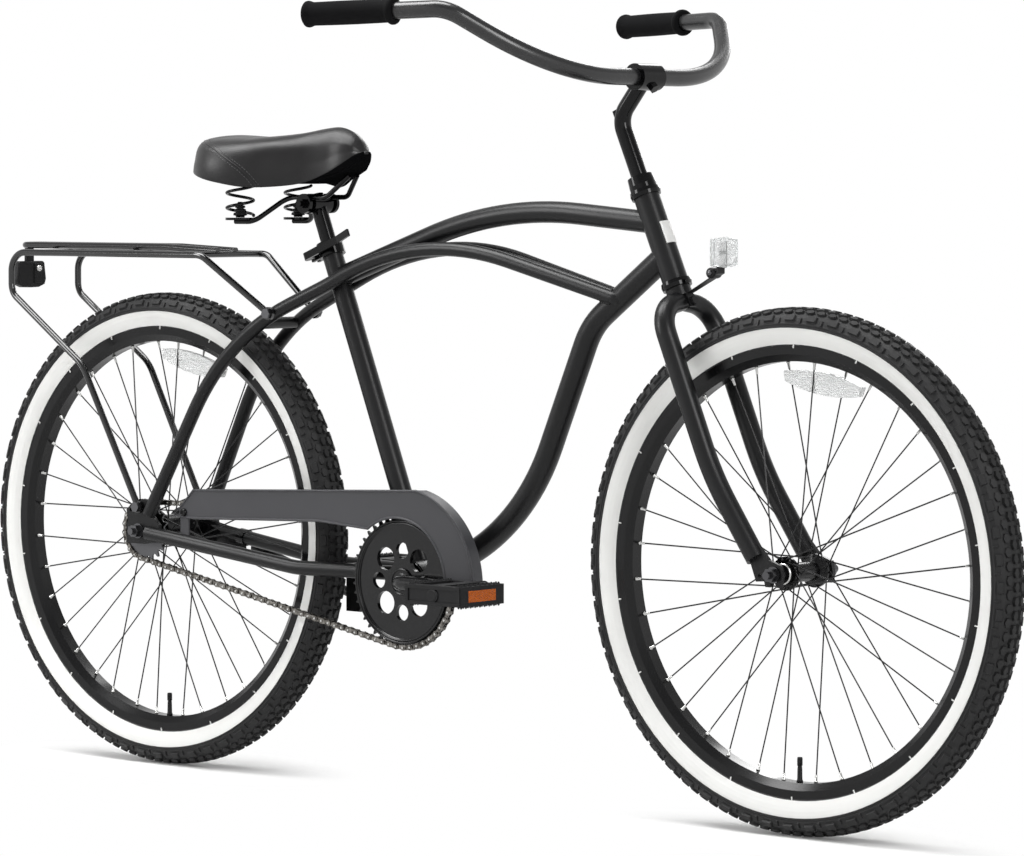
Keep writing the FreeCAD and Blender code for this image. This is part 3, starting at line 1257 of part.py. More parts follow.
cam_middle = skewer_middle + Vector(0, -cam_offset, 0)
half_cam = seat_up * (float(lever_width) / 2)
cam = bar(cam_middle - half_cam, cam_middle + half_cam, cam_radius)
lever_inner = Vector(0, float(cam_radius) - float(lever_thickness), 0)
lever_root = cam_middle - lever_inner
lever_end = lever_root - seat_back * float(lever_length)
lever_flare = lever_end - seat_back * 2 + Vector(0, -6, 0)
lever_bend = lever_root - seat_back * (float(lever_length) * 0.7)
sheet_back = Vector(0, -lever_thickness, 0)
lever_corners = [lever_root, lever_bend, lever_flare, lever_flare + sheet_back, lever_bend + sheet_back,
                 lever_root + sheet_back]
lever = prism([corner - half_cam for corner in lever_corners], half_cam * 2)
plain_feature("seat_clamp_lever", cam.fuse(lever).removeSplitter())

# Seat post, saddle clamp and the saddle's wire rails
post_insert = size("post_insert", 203.0)
post_rise = size("post_rise", 57.0)
post_over = size("post_over", 12.0)
post_foot = seat_tube_length - post_insert
post_clamp_height = seat_tube_length + post_rise
post_top = post_clamp_height + post_over
rail_radius = size("rail_radius", 3.5)
rail_half_span = size("rail_half_span", 21.0)
rail_over_clamp = size("rail_over_clamp", 8.5)
rail_rear_span = size("rail_rear_span", 58.0)
rail_rear_drop = size("rail_rear_drop", 25.0)
rail_nose_rise = size("rail_nose_rise", 38.2)
rail_nose_ahead = size("rail_nose_ahead", 66.0)
rail_corner_back = size("rail_corner_back", 66.0)
clamp_barrel_radius = size("clamp_barrel_radius", 13.5)
clamp_washer_thickness = size("clamp_washer_thickness", 5.0)
clamp_bolt_radius = size("clamp_bolt_radius", 4.0)
spring_back = size("spring_back", 92.0)
spring_seat_radius = size("spring_seat_radius", 20.5)
spring_seat_thickness = size("spring_seat_thickness", 2.0)
post_block = bar(on_seat(post_foot), on_seat(post_top), seat_post_radius)
plain_feature("seat_post", post_block)
clamp_middle = on_seat(post_clamp_height)


def from_clamp(ahead, left, above):
    return clamp_middle + Vector(float(ahead), float(left), float(above))


barrel_half = rail_half_span - rail_radius
washer_near = rail_half_span + rail_radius
washer_far = washer_near + clamp_washer_thickness
saddle_clamp = bar(from_clamp(0, -barrel_half, 0), from_clamp(0, barrel_half, 0), clamp_barrel_radius)
clamp_parts = [bar(from_clamp(0, -washer_far - 9, 0), from_clamp(0, washer_far + 9, 0), clamp_bolt_radius)]
for side in (-1, 1):
    clamp_parts.append(bar(from_clamp(0, washer_near * side, 0), from_clamp(0, washer_far * side, 0),
                           clamp_barrel_radius))
    nut_corners = hexagon(from_clamp(0, washer_far * side, 0), bolt_head_radius, Vector(1, 0, 0), Vector(0, 0, 1))
    clamp_parts.append(prism(nut_corners, Vector(0, 6 * side, 0)))
plain_feature("saddle_clamp", saddle_clamp.fuse(clamp_parts).cut(post_block).removeSplitter())
rails = []
for side in (-1, 1):
    rail = rod([from_clamp(rail_nose_ahead, 8 * side, rail_nose_rise),
                from_clamp(36, rail_half_span * side, rail_over_clamp),
                from_clamp(-36, rail_half_span * side, rail_over_clamp),
                from_clamp(-rail_corner_back, rail_rear_span * side, -rail_rear_drop),
                from_clamp(-spring_back - 9, rail_rear_span * side, -rail_rear_drop)],
               [18.0, 25.0, 22.0], rail_radius)
    seat_foot = from_clamp(-spring_back, rail_rear_span * side, rail_radius - 1.5 - rail_rear_drop)
    seat_top = from_clamp(-spring_back, rail_rear_span * side,
                          rail_radius + spring_seat_thickness - rail_rear_drop)
    rails.append(rail.fuse(bar(seat_foot, seat_top, spring_seat_radius)).removeSplitter())
plain_feature("saddle_rails", Part.Compound(rails))

# Saddle: pan and cover lofted through cross-sections from the tail to the nose,
# each given as (ahead of the clamp, half width, pan above the clamp, top above the clamp, crown)
saddle_sections = [
    (-168.0, 56.0, 50.0, 86.0, 8.0), (-152.0, 92.0, 45.0, 90.5, 5.0), (-122.0, 110.0, 34.6, 91.5, 4.0),
    (-88.0, 111.0, 29.6, 92.0, 4.5), (-50.0, 98.0, 30.0, 94.5, 7.0), (-14.0, 71.0, 30.6, 97.5, 10.0),
    (16.0, 49.0, 32.6, 101.0, 13.0), (46.0, 35.0, 38.6, 102.0, 13.4), (72.0, 26.5, 48.6, 95.0, 9.3),
    (88.0, 15.0, 61.0, 82.0, 4.0)]
pan_sheet = size("pan_sheet", 2.6)
pan_share = size("pan_share", 0.8)
skirt_share = size("skirt_share", 0.84)
skirt_drop = size("skirt_drop", 3.6)


def cover_section(ahead, half_width, edge, top, crown):
    """One closed outline: a skirt round the pan, full sides and a crowned top."""
    depth = top - edge
    low = 0.9 * half_width
    skirt = half_width * float(skirt_share)
    hem = edge - float(skirt_drop)
    high = half_width * (0.88 - 0.0105 * crown)
    shoulder = top - crown
    right_low = from_clamp(ahead, -low, hem)
    left_low = from_clamp(ahead, low, hem)
    under = [right_low, from_clamp(ahead, -skirt, hem), from_clamp(ahead, -skirt, edge),
             from_clamp(ahead, skirt, edge), from_clamp(ahead, skirt, hem), left_low]
    right_high = from_clamp(ahead, -high, shoulder)
    left_high = from_clamp(ahead, high, shoulder)
    right_full = from_clamp(ahead, -half_width, edge + 0.4 * depth)
    left_full = from_clamp(ahead, half_width, edge + 0.4 * depth)
    return Part.Wire([
        *Part.makePolygon(under).Edges, Part.Arc(left_low, left_full, left_high).toShape(),
        Part.Arc(left_high, from_clamp(ahead, 0, top), right_high).toShape(),
        Part.Arc(right_high, right_full, right_low).toShape()])


def pan_section(ahead, half_width, edge):
    span = half_width * float(pan_share)
    top = edge - float(end_play)
    low = top - float(pan_sheet)
    corners = [from_clamp(ahead, -span, low), from_clamp(ahead, span, low), from_clamp(ahead, span, top),
               from_clamp(ahead, -span, top)]
    return Part.makePolygon(corners + [corners[0]])


cover_shape = Part.makeLoft([cover_section(*section) for section in saddle_sections], True, True)
pan_shape = Part.makeLoft([pan_section(*section[:3]) for section in saddle_sections], True, True)
plain_feature("saddle_cover", cover_shape)
plain_feature("saddle_pan", pan_shape)

# Saddle springs: each one round wire wound without a break between its seat and the pan
spring_wire = size("spring_wire", 2.2)
spring_coil = size("spring_coil", 18.5)
spring_turns = size("spring_turns", 2.0)
spring_sides = size("spring_sides", 8)
spring_foot = clamp_middle.z + float(rail_radius + spring_seat_thickness - rail_rear_drop + spring_wire + end_play)
pan_under = saddle_sections[3][2] - float(pan_sheet + end_play)
spring_end = clamp_middle.z + pan_under - float(spring_wire + end_play)
spring_rise = (spring_end - spring_foot) / float(spring_turns)


def coil_point(turns, centre):
    angle = 2 * math.pi * turns
    return Vector(centre.x + float(spring_coil) * math.cos(angle), centre.y + float(spring_coil) * math.sin(angle),
                  spring_foot + spring_rise * turns)


def coil_way(turns):
    angle = 2 * math.pi * turns
    run = 2 * math.pi * float(spring_coil)
    return Vector(-run * math.sin(angle), run * math.cos(angle), spring_rise).normalize()


def tangent_arc(start, way, end):
    """The arc that leaves a point in a direction and reaches the end point."""
    chord = end - start
    aside = way - chord * (way.dot(chord) / chord.dot(chord))
    turn = way.getAngle(chord)
    middle = (start + end) * 0.5 + Vector(aside).normalize() * (chord.Length / 2 * math.tan(turn / 2))
    return Part.Arc(start, middle, end).toShape()


def coil_wire(centre):
    edges = []
    steps = int(round(float(spring_turns) * 4))
    for step in range(steps):
        first = coil_point(step / 4.0, centre)
        last = coil_point((step + 1) / 4.0, centre)
        first_way = coil_way(step / 4.0)
        last_way = coil_way((step + 1) / 4.0)
        chord = last - first
        both = first_way + last_way
        bend = 2 * (1 - first_way.dot(last_way))
        reach = (math.sqrt(chord.dot(both) ** 2 + bend * chord.dot(chord)) - chord.dot(both)) / bend
        joint = (first + first_way * reach + last - last_way * reach) * 0.5
        edges.append(tangent_arc(first, first_way, joint))
        back_arc = tangent_arc(last, last_way * -1, joint)
        back_arc.reverse()
        edges.append(back_arc)
    return Part.Wire(edges)


springs = []
for side in (-1, 1):
    spring_middle = from_clamp(-spring_back, rail_rear_span * side, 0)
    start = coil_point(0.0, spring_middle)
    way = coil_way(0.0)
    outward = Vector(1, 0, 0)
    upright = way.cross(outward)
    corners = []
    for step in range(int(spring_sides)):
        angle = 2 * math.pi * (step + 0.5) / int(spring_sides)
        corners.append(start + (outward * math.cos(angle) + upright * math.sin(angle)) * float(spring_wire))
    profile = Part.makePolygon(corners + [corners[0]])
    springs.append(coil_wire(spring_middle).makePipeShell([profile], True, False))
plain_feature("saddle_springs", Part.Compound(springs))
print("least gap between spring coils: %.2f mm" % (spring_rise - 2 * float(spring_wire)))

# Rear rack: two bent side rails, cross bars and a hairpin deck loop
rack_rod = size("rack_rod", 4.75)
rack_half_width = size("rack_half_width", 66.0)
rack_over_tyre = size("rack_over_tyre", 55.0)
rack_rise = tyre_radius + rack_over_tyre
rack_front = size("rack_front", 130.0)
rack_tail = size("rack_tail", 252.0)
rack_tail_drop = size("rack_tail_drop", 58.0)
rack_knee_back = size("rack_knee_back", 106.0)
rack_knee_below = size("rack_knee_below", 159.0)
rack_knee_rise = rack_rise - rack_knee_below
rack_eye_radius = size("rack_eye_radius", 9.0)
rack_eye_thickness = size("rack_eye_thickness", 5.0)
rack_bolt_radius = size("rack_bolt_radius", 2.5)
rack_hold_back = size("rack_hold_back", 250.0)
loop_half = size("loop_half", 18.0)
loop_tail = size("loop_tail", 284.0)
cross_front = size("cross_front", 116.0)
cross_middle = size("cross_middle", 50.0)
cross_tail = size("cross_tail", 214.0)
hold_middle = centre_height(side_blocks[0], bracket.x - float(rack_hold_back), side_run_middle)
hold_face = hold_middle.y - float(side_tube_radius)


def from_rear(ahead, left, rise):
    return rear_axle + Vector(float(ahead), float(left), float(rise))


rear_eye_y = -float(rear_spacing / 2 + dropout_thickness)
rack_rails = []
rack_bolts = []
for side in (-1, 1):
    front_eye = Vector(hold_middle.x, side * (abs(hold_face) + float(rack_eye_thickness) / 2), hold_middle.z)
    rear_eye = from_rear(rack_eyelet_ahead, side * (abs(rear_eye_y) + float(rack_eye_thickness) / 2),
                         rack_eyelet_rise)
    wide = rack_half_width * side
    rail = rod([front_eye, from_rear(rack_front, wide, rack_rise), from_rear(-rack_tail, wide, rack_rise),
                from_rear(-rack_tail, wide, rack_rise - rack_tail_drop),
                from_rear(-rack_knee_back, wide, rack_knee_rise), rear_eye], [30.0, 27.0, 24.0, 60.0], rack_rod)
    half_eye = Vector(0, float(rack_eye_thickness) / 2, 0)
    eyes = [bar(eye - half_eye, eye + half_eye, rack_eye_radius) for eye in (front_eye, rear_eye)]
    outward = Vector(0, side, 0)
    near_sides = []
    for eye in (front_eye, rear_eye):
        inner = eye - half_eye * side
        near_sides.append(Part.makeBox(60, 12, 60, Vector(eye.x - 30, inner.y - (12 if side > 0 else 0), eye.z - 30)))
        start = inner - outward * (float(dropout_thickness) if eye is rear_eye else 0.0)
        outer = eye + half_eye * side
        head = prism(hexagon(outer, rack_eye_radius - 1.5, Vector(1, 0, 0), Vector(0, 0, 1)), outward * 5)
        bolt = bar(start, outer, eyelet_radius).fuse(head).cut(side_blocks)
        rack_bolts.append(max(bolt.Solids, key=lambda solid: solid.Volume).removeSplitter())
    rail = rail.fuse(eyes).cut(near_sides + rack_bolts[-2:] + side_blocks)
    rack_rails.append(max(rail.Solids, key=lambda solid: solid.Volume).removeSplitter())
plain_feature("rack_rails", Part.Compound(rack_rails))
plain_feature("rack_bolts", Part.Compound(rack_bolts))
rack_z = rack_rise
loop_rise = rack_rise + rack_rod * 2 + 0.1
cross_bars = []
for ahead in (cross_front, -cross_middle, -cross_tail):
    beam = bar(from_rear(ahead, -rack_half_width, rack_z), from_rear(ahead, rack_half_width, rack_z), rack_rod - 0.6)
    cross_bars.append(max(beam.cut(rack_rails).Solids, key=lambda solid: solid.Volume))
loop_right = [from_rear(cross_front, -loop_half, rack_rise + rack_rod), from_rear(10, -loop_half, loop_rise),
              from_rear(-loop_tail, -loop_half, loop_rise)]
loop = rod(loop_right + [mirrored(point) for point in reversed(loop_right)],
           [60.0, float(loop_half) - 0.1, float(loop_half) - 0.1, 60.0], rack_rod)
loop = max(loop.cut(cross_bars).Solids, key=lambda solid: solid.Volume)
plain_feature("rack_deck", Part.Compound([loop] + cross_bars))

# Rear reflector hung from the deck loop
tail_housing_depth = size("tail_housing_depth", 13.0)
tail_housing_width = size("tail_housing_width", 58.0)
tail_housing_height = size("tail_housing_height", 38.0)
tail_housing_drop = size("tail_housing_drop", 14.0)
tail_lens_depth = size("tail_lens_depth", 3.0)
tail_lens_inset = size("tail_lens_inset", 3.0)
housing_low = from_rear(-loop_tail - 8, -tail_housing_width / 2, rack_rise - tail_housing_drop - tail_housing_height)
housing = Part.makeBox(float(tail_housing_depth), float(tail_housing_width), float(tail_housing_height), housing_low)
hanger_top = float(loop_rise - rack_rod)
hanger = Part.makeBox(3, 18, hanger_top - float(rack_rise - tail_housing_drop) + 6,
                      from_rear(-loop_tail - 1, -9, rack_rise - tail_housing_drop - 6))
tail_lens = Part.makeBox(float(tail_lens_depth), float(tail_housing_width - tail_lens_inset * 2),
                         float(tail_housing_height - tail_lens_inset * 2),
                         housing_low + Vector(-tail_lens_depth / 2, tail_lens_inset, tail_lens_inset))
plain_feature("rear_reflector_housing", housing.fuse(hanger).cut([tail_lens, loop]).removeSplitter())
plain_feature("rear_reflector_lens", tail_lens)

# Check every object, then write one file for each piece
doc.recompute()
for item in doc.Objects:
    if "Invalid" in item.State or "Error" in item.State:
        raise RuntimeError("failed: " + item.Label)
for piece in pieces:
    if piece.Shape.isNull() or not piece.Shape.isValid():
        raise RuntimeError("bad shape: " + piece.Label)
for piece in pieces:
    piece.Shape.exportStep(os.path.join("parts", piece.Label + ".step"))
print("pieces written: %d" % len(pieces))
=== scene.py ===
import math

import bmesh
import bpy
from mathutils import Matrix, Vector
from mathutils.bvhtree import BVHTree


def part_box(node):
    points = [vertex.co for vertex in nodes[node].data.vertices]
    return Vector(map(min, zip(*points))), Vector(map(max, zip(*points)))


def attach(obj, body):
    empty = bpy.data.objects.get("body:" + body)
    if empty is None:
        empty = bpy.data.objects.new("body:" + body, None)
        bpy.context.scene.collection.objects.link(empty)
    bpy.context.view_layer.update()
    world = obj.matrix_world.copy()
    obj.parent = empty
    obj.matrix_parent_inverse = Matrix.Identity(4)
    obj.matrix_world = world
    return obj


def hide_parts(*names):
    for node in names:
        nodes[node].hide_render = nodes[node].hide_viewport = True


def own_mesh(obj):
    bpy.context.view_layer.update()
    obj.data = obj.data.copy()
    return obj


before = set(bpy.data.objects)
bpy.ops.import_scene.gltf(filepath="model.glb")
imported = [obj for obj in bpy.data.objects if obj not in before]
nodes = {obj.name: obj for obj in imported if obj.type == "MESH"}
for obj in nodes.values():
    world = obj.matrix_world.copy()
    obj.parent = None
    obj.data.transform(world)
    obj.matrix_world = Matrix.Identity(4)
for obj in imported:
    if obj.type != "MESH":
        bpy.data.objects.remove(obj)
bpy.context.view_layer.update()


# Studio: a white seamless floor under large soft lamps: overhead, to the rear right, in front, and a
# weak one on the left. White walls rise to a grey ceiling; the floor is clean white away from the shadows.
def linear(hex_colour):
    """A colour written as sRGB hex, as the linear values the shaders take."""
    parts = [int(hex_colour[i:i + 2], 16) / 255.0 for i in (1, 3, 5)]
    return tuple(p / 12.92 if p <= 0.04045 else ((p + 0.055) / 1.055) ** 2.4 for p in parts) + (1.0,)


def put(tree, kind, inputs=None, **settings):
    """Adds a node; an input is a plain value or the output socket that feeds it."""
    node = tree.nodes.new(kind)
    for name, value in settings.items():
        setattr(node, name, value)
    for name, value in (inputs or {}).items():
        if isinstance(value, bpy.types.NodeSocket):
            tree.links.new(value, node.inputs[name])
        else:
            node.inputs[name].default_value = value
    return node


def finish_of(name, colour, roughness, **sockets):
    """A material with its shader set; returns the material, its tree and the shader."""
    material = bpy.data.materials.new(name)
    material.use_nodes = True
    tree = material.node_tree
    shader = tree.nodes["Principled BSDF"]
    shader.inputs["Base Color"].default_value = linear(colour)
    shader.inputs["Roughness"].default_value = roughness
    for socket, value in sockets.items():
        shader.inputs[socket.replace("_", " ")].default_value = value
    return material, tree, shader


def backdrop_rays(tree):
    """One for the rays that look at the backdrop: straight, mirrored or through clear plastic."""
    paths = put(tree, "ShaderNodeLightPath")
    direct = put(tree, "ShaderNodeMath", {0: paths.outputs["Is Camera Ray"], 1: paths.outputs["Is Glossy Ray"]},
                 operation="MAXIMUM")
    return put(tree, "ShaderNodeMath", {0: direct.outputs[0], 1: paths.outputs["Is Transmission Ray"]},
               operation="MAXIMUM").outputs[0]


front_axle = Vector((0.56175, 0.0, 0.335))
rear_axle = Vector((-0.56175, 0.0, 0.335))
floor_paper, tree, shader = finish_of("matt_white_paper", "#f7f7f6", 0.9, Specular_IOR_Level=0.1)
place = put(tree, "ShaderNodeTexCoord")
shadow_length, shadow_width = 0.34, 0.17
reach = []
for axle in (front_axle, rear_axle):
    patch = put(tree, "ShaderNodeMapping", {
        "Vector": place.outputs["Object"], "Location": (-axle.x / shadow_length, 0.0, 0.0),
        "Scale": (1 / shadow_length, 1 / shadow_width, 1.0)})
    reach.append(put(tree, "ShaderNodeVectorMath", {0: patch.outputs[0]}, operation="LENGTH").outputs["Value"])
nearest = put(tree, "ShaderNodeMath", {0: reach[0], 1: reach[1]}, operation="MINIMUM")
# The floor's white glow never falls below a tenth, even in the shadows under the wheels: a painted light that lifts
# the shadows' cores.
white_glow_share = put(tree, "ShaderNodeMapRange", {
    "Value": nearest.outputs[0], "From Min": 0.3, "From Max": 1.0, "To Min": 0.10}, interpolation_type="SMOOTHSTEP")
share = put(tree, "ShaderNodeMath", {0: white_glow_share.outputs["Result"], 1: backdrop_rays(tree)}, operation="MULTIPLY")
white = put(tree, "ShaderNodeEmission", {"Color": (1.0, 1.0, 1.0, 1.0), "Strength": 1.0})
both = put(tree, "ShaderNodeMixShader", {0: share.outputs[0], 1: shader.outputs[0], 2: white.outputs[0]})
tree.links.new(both.outputs[0], tree.nodes["Material Output"].inputs["Surface"])
bm = bmesh.new()
bmesh.ops.create_grid(bm, x_segments=1, y_segments=1, size=40.0)
floor_mesh = bpy.data.meshes.new("floor")
bm.to_mesh(floor_mesh)
bm.free()
floor_mesh.materials.append(floor_paper)
floor = bpy.data.objects.new("floor", floor_mesh)
bpy.context.scene.collection.objects.link(floor)

world = bpy.data.worlds.new("white_studio")
bpy.context.scene.world = world
world.use_nodes = True
tree = world.node_tree
tree.nodes.clear()
lit = put(tree, "ShaderNodeBackground", {"Color": (1.0, 1.0, 1.0, 1.0), "Strength": 0.10})
place = put(tree, "ShaderNodeTexCoord")
height = put(tree, "ShaderNodeSeparateXYZ", {"Vector": place.outputs["Generated"]})
ceiling = put(tree, "ShaderNodeMapRange", {
    "Value": height.outputs["Z"], "From Min": 0.30, "From Max": 0.58, "To Min": 1.0, "To Max": 0.5},
    interpolation_type="SMOOTHSTEP")
white = put(tree, "ShaderNodeBackground", {"Color": (1.0, 1.0, 1.0, 1.0), "Strength": ceiling.outputs["Result"]})
both = put(tree, "ShaderNodeMixShader", {0: backdrop_rays(tree), 1: lit.outputs[0], 2: white.outputs[0]})
put(tree, "ShaderNodeOutputWorld", {"Surface": both.outputs[0]})


def softbox(name, place, target, size, power):
    light = bpy.data.lights.new(name, "AREA")
    light.shape = "RECTANGLE"
    light.size, light.size_y = size
    light.energy = power
    lamp = bpy.data.objects.new(name, light)
    bpy.context.scene.collection.objects.link(lamp)
    lamp.location = place
    lamp.rotation_euler = (Vector(target) - Vector(place)).to_track_quat("-Z", "Y").to_euler()


softbox("top_softbox", (-1.0, -0.6, 3.9), (0, 0, 0.5), (1.7, 3.4), 200.0)
softbox("right_softbox", (-2.8, -3.2, 2.3), (0, 0, 0.6), (1.2, 2.2), 84.0)
softbox("front_softbox", (4.0, -1.2, 2.4), (0.3, 0, 0.6), (1.3, 2.4), 94.0)
softbox("left_softbox", (-1.4, 3.8, 2.4), (0, 0, 0.6), (1.4, 2.2), 55.0)

# Camera: a long lens where the photograph was taken from. Its place and its right, up and back
# directions were solved from the two wheels and the ground under them.
focal_pixels, photo_width = 4633.0, 1024.0
view = bpy.data.cameras.new("photo_view")
view.sensor_fit = "HORIZONTAL"
view.sensor_width = 36.0
view.lens = focal_pixels * view.sensor_width / photo_width
view.clip_end = 100.0
camera = bpy.data.objects.new("photo_view", view)
bpy.context.scene.collection.objects.link(camera)
right_way = Vector((0.757618, 0.652698, 0.000481))
up_way = Vector((-0.035205, 0.040128, 0.998574))
back_way = Vector((0.651748, -0.756555, 0.053380))
turn = Matrix((right_way, up_way, back_way)).transposed()
camera.matrix_world = Matrix.Translation((4.09027, -4.65419, 0.82860)) @ turn.to_4x4()
bpy.context.scene.camera = camera
bpy.context.scene.view_settings.view_transform = "Standard"


# Frame: mild steel tubes, bent and welded, under a satin black powder coat. The powder is baked
# to a smooth skin that carries broad soft streaks of light.
def paint_node(material, *names):
    for name in names:
        piece = nodes[name]
        piece.data.materials.clear()
        piece.data.materials.append(material)
        for face in piece.data.polygons:
            face.material_index = 0


def peel(tree, shader, millimetres, depth, low, high, shades=None):
    """Fine noise: a bump of the given grain, if it has a depth, and a slow drift of roughness and shade."""
    place = put(tree, "ShaderNodeTexCoord")
    if depth:
        grain = put(tree, "ShaderNodeTexNoise", {
            "Vector": place.outputs["Object"], "Scale": 1000.0 / millimetres, "Detail": 3.0})
        bump = put(tree, "ShaderNodeBump", {
            "Height": grain.outputs["Fac"], "Strength": depth, "Distance": millimetres / 4000.0})
        tree.links.new(bump.outputs["Normal"], shader.inputs["Normal"])
    slow = put(tree, "ShaderNodeTexNoise", {"Vector": place.outputs["Object"], "Scale": 9.0, "Detail": 4.0})
    spread = put(tree, "ShaderNodeMapRange", {
        "Value": slow.outputs["Fac"], "From Min": 0.3, "From Max": 0.7, "To Min": low, "To Max": high})
    tree.links.new(spread.outputs["Result"], shader.inputs["Roughness"])
    if shades:
        drift = put(tree, "ShaderNodeMix", {
            "Factor": slow.outputs["Fac"], "A": linear(shades[0]), "B": linear(shades[1])}, data_type="RGBA")
        tree.links.new(drift.outputs["Result"], shader.inputs["Base Color"])


def mesh_piece(name, bm, materials, body, smooth=True):
    """Turns a bmesh into an object that rides on a body."""
    mesh = bpy.data.meshes.new(name)
    bm.to_mesh(mesh)
    bm.free()
    for material in materials:
        mesh.materials.append(material)
    for face in mesh.polygons:
        face.use_smooth = smooth
    piece = bpy.data.objects.new(name, mesh)
    bpy.context.scene.collection.objects.link(piece)
    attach(piece, body)
    return piece


powder_coat, tree, shader = finish_of("satin_black_powder_coat", "#111112", 0.34, Specular_IOR_Level=0.26)
peel(tree, shader, 0.0, 0.0, 0.31, 0.38, ("#0f0f10", "#141415"))
paint_node(powder_coat, "bottom_bracket_shell", "seat_tube", "head_tube", "top_tube", "down_tube", "dropouts",
           "side_tubes", "chainstays", "stay_bridges", "fork", "fork_tips", "kickstand_bracket", "kickstand")


# Frame welds: beads of weld metal laid round each tube's end, one over the next like tipped
# coins, and a rounded plug that closes each side tube on the down tube, under the same powder coat.
def surface_of(mesh):
    """A mesh's faces, ready to be asked for nearest points and ray hits."""
    return BVHTree.FromPolygons([v.co for v in mesh.vertices], [p.vertices[:] for p in mesh.polygons])


def weld(bm, tube, onto, side, beads=36, radius=0.0021):
    """Adds beads along the line where a tube's end touches another piece."""
    surface = surface_of(nodes[onto].data)
    corners = [v.co for v in nodes[tube].data.vertices if side * v.co.y >= 0]
    touching = [c for c in corners if surface.find_nearest(c, 0.0006)[0] is not None]
    if len(touching) < 6:
        return
    middle = sum(touching, Vector()) / len(touching)
    near = [c for c in corners if 0.008 < (c - middle).length < 0.09]
    along = (sum(near, Vector()) / len(near) - middle).normalized()
    across = along.cross(Vector((0.0, 1.0, 0.3))).normalized()
    third = along.cross(across)
    rim = []
    for corner in touching:
        flat = (corner - middle) - along * (corner - middle).dot(along)
        rim.append((math.atan2(flat.dot(third), flat.dot(across)), flat.length, corner))
    widest = max(entry[1] for entry in rim)
    rim = sorted((entry for entry in rim if entry[1] > widest * 0.72), key=lambda entry: entry[0])
    for step in range(beads):
        wanted = -math.pi + 2 * math.pi * step / beads
        after = next((i for i, entry in enumerate(rim) if entry[0] >= wanted), 0)
        first, last = rim[after - 1], rim[after]
        gap = (last[0] - first[0]) % (2 * math.pi) or 1.0
        spot = first[2].lerp(last[2], min(1.0, ((wanted - first[0]) % (2 * math.pi)) / gap))
        bmesh.ops.create_uvsphere(bm, u_segments=8, v_segments=5, radius=radius, matrix=Matrix.Translation(spot))


bm = bmesh.new()
for tube, onto, side in (("top_tube", "head_tube", 0), ("down_tube", "head_tube", 0), ("top_tube", "seat_tube", 0),
                         ("seat_tube", "bottom_bracket_shell", 0), ("down_tube", "bottom_bracket_shell", 0),
                         ("chainstays", "bottom_bracket_shell", 1), ("chainstays", "bottom_bracket_shell", -1),
                         ("side_tubes", "head_tube", 1), ("side_tubes", "head_tube", -1),
                         ("side_tubes", "down_tube", 1), ("side_tubes", "down_tube", -1)):
    weld(bm, tube, onto, side)
plug_shape = Matrix.Diagonal((0.0095, 0.0095, 0.015, 1.0))
for side in (-1, 1):
    forward = Vector((0.966, -side * 0.041, -0.256)).to_track_quat("Z", "Y").to_matrix().to_4x4()
    bmesh.ops.create_uvsphere(bm, u_segments=24, v_segments=12, radius=1.0, matrix=(
        Matrix.Translation((0.2629, side * 0.0100, 0.6763)) @ forward @ plug_shape))
mesh_piece("frame_welds", bm, [powder_coat], "frame")

# Bearing cups, headset nut and the seat clamp: turned steel under black gloss enamel, which
# mirrors the lamps in thin bright lines.
gloss_enamel, tree, shader = finish_of("black_gloss_enamel", "#050506", 0.1, Specular_IOR_Level=0.22)
peel(tree, shader, 5.0, 0.004, 0.07, 0.12, ("#040405", "#070708"))
paint_node(gloss_enamel, "headset_locknut", "bearing_cups", "seat_clamp", "seat_clamp_lever")

# Head badge: a small curved plate, stamped from thin sheet, coated in plain white enamel and
# riveted to the head tube.
badge_enamel, tree, shader = finish_of("white_badge_enamel", "#e6e6e4", 0.3)
peel(tree, shader, 2.0, 0.04, 0.26, 0.36, ("#e0e0de", "#ebebe9"))
paint_node(badge_enamel, "head_badge")

# Axles, nuts, bearing rings and bolts: turned and cold-headed steel, barrel plated dark grey,
# so that the shade drifts from place to place.
dark_plating, tree, shader = finish_of("dark_plated_steel", "#5a5a5c", 0.3, Metallic=1.0)
peel(tree, shader, 0.8, 0.08, 0.24, 0.4, ("#48484a", "#6b6b6d"))
paint_node(dark_plating, "front_axle", "rear_axle", "bearing_rings", "pedal_spindles", "rack_bolts")

# Seat post and saddle clamp: drawn and pressed steel in gloss black, the clamp's toothed
# washers tightened on the rails by one cross bolt.
paint_node(gloss_enamel, "seat_post", "saddle_clamp", "saddle_rails")
moulded_black, tree, shader = finish_of("moulded_black_plastic", "#161617", 0.5, Specular_IOR_Level=0.2)
peel(tree, shader, 0.7, 0.12, 0.42, 0.54, ("#131314", "#19191a"))


# Saddle springs: round spring wire, coiled in two turns, black enamelled. Each sits on a
# ribbed rubber stop bolted to the end of the rails.
def turned(outline, place, axis, steps, closed=False):
    """A shape turned on a lathe: (radius, along) points spun round an axis through a place."""
    bm = bmesh.new()
    ring = [bm.verts.new((radius, 0.0, along)) for radius, along in outline]
    for first, last in zip(ring, ring[1:] + (ring[:1] if closed else [])):
        if first is not last:
            bm.edges.new((first, last))
    bmesh.ops.spin(bm, geom=bm.verts[:] + bm.edges[:], cent=(0, 0, 0), axis=(0, 0, 1), angle=2 * math.pi,
                   steps=steps, use_merge=True, use_duplicate=False)
    bmesh.ops.remove_doubles(bm, verts=bm.verts, dist=1e-6)
    bmesh.ops.recalc_face_normals(bm, faces=bm.faces)
    stand = Vector(axis).to_track_quat("Z", "Y").to_matrix().to_4x4()
    bmesh.ops.transform(bm, matrix=Matrix.Translation(place) @ stand, verts=bm.verts)
    return bm


def add_to(target, bm, material_index=0):
    """Moves one bmesh into another, with its faces on the given material."""
    for face in bm.faces:
        face.material_index = material_index
    mesh = bpy.data.meshes.new("part")
    bm.to_mesh(mesh)
    bm.free()
    target.from_mesh(mesh)
    bpy.data.meshes.remove(mesh)


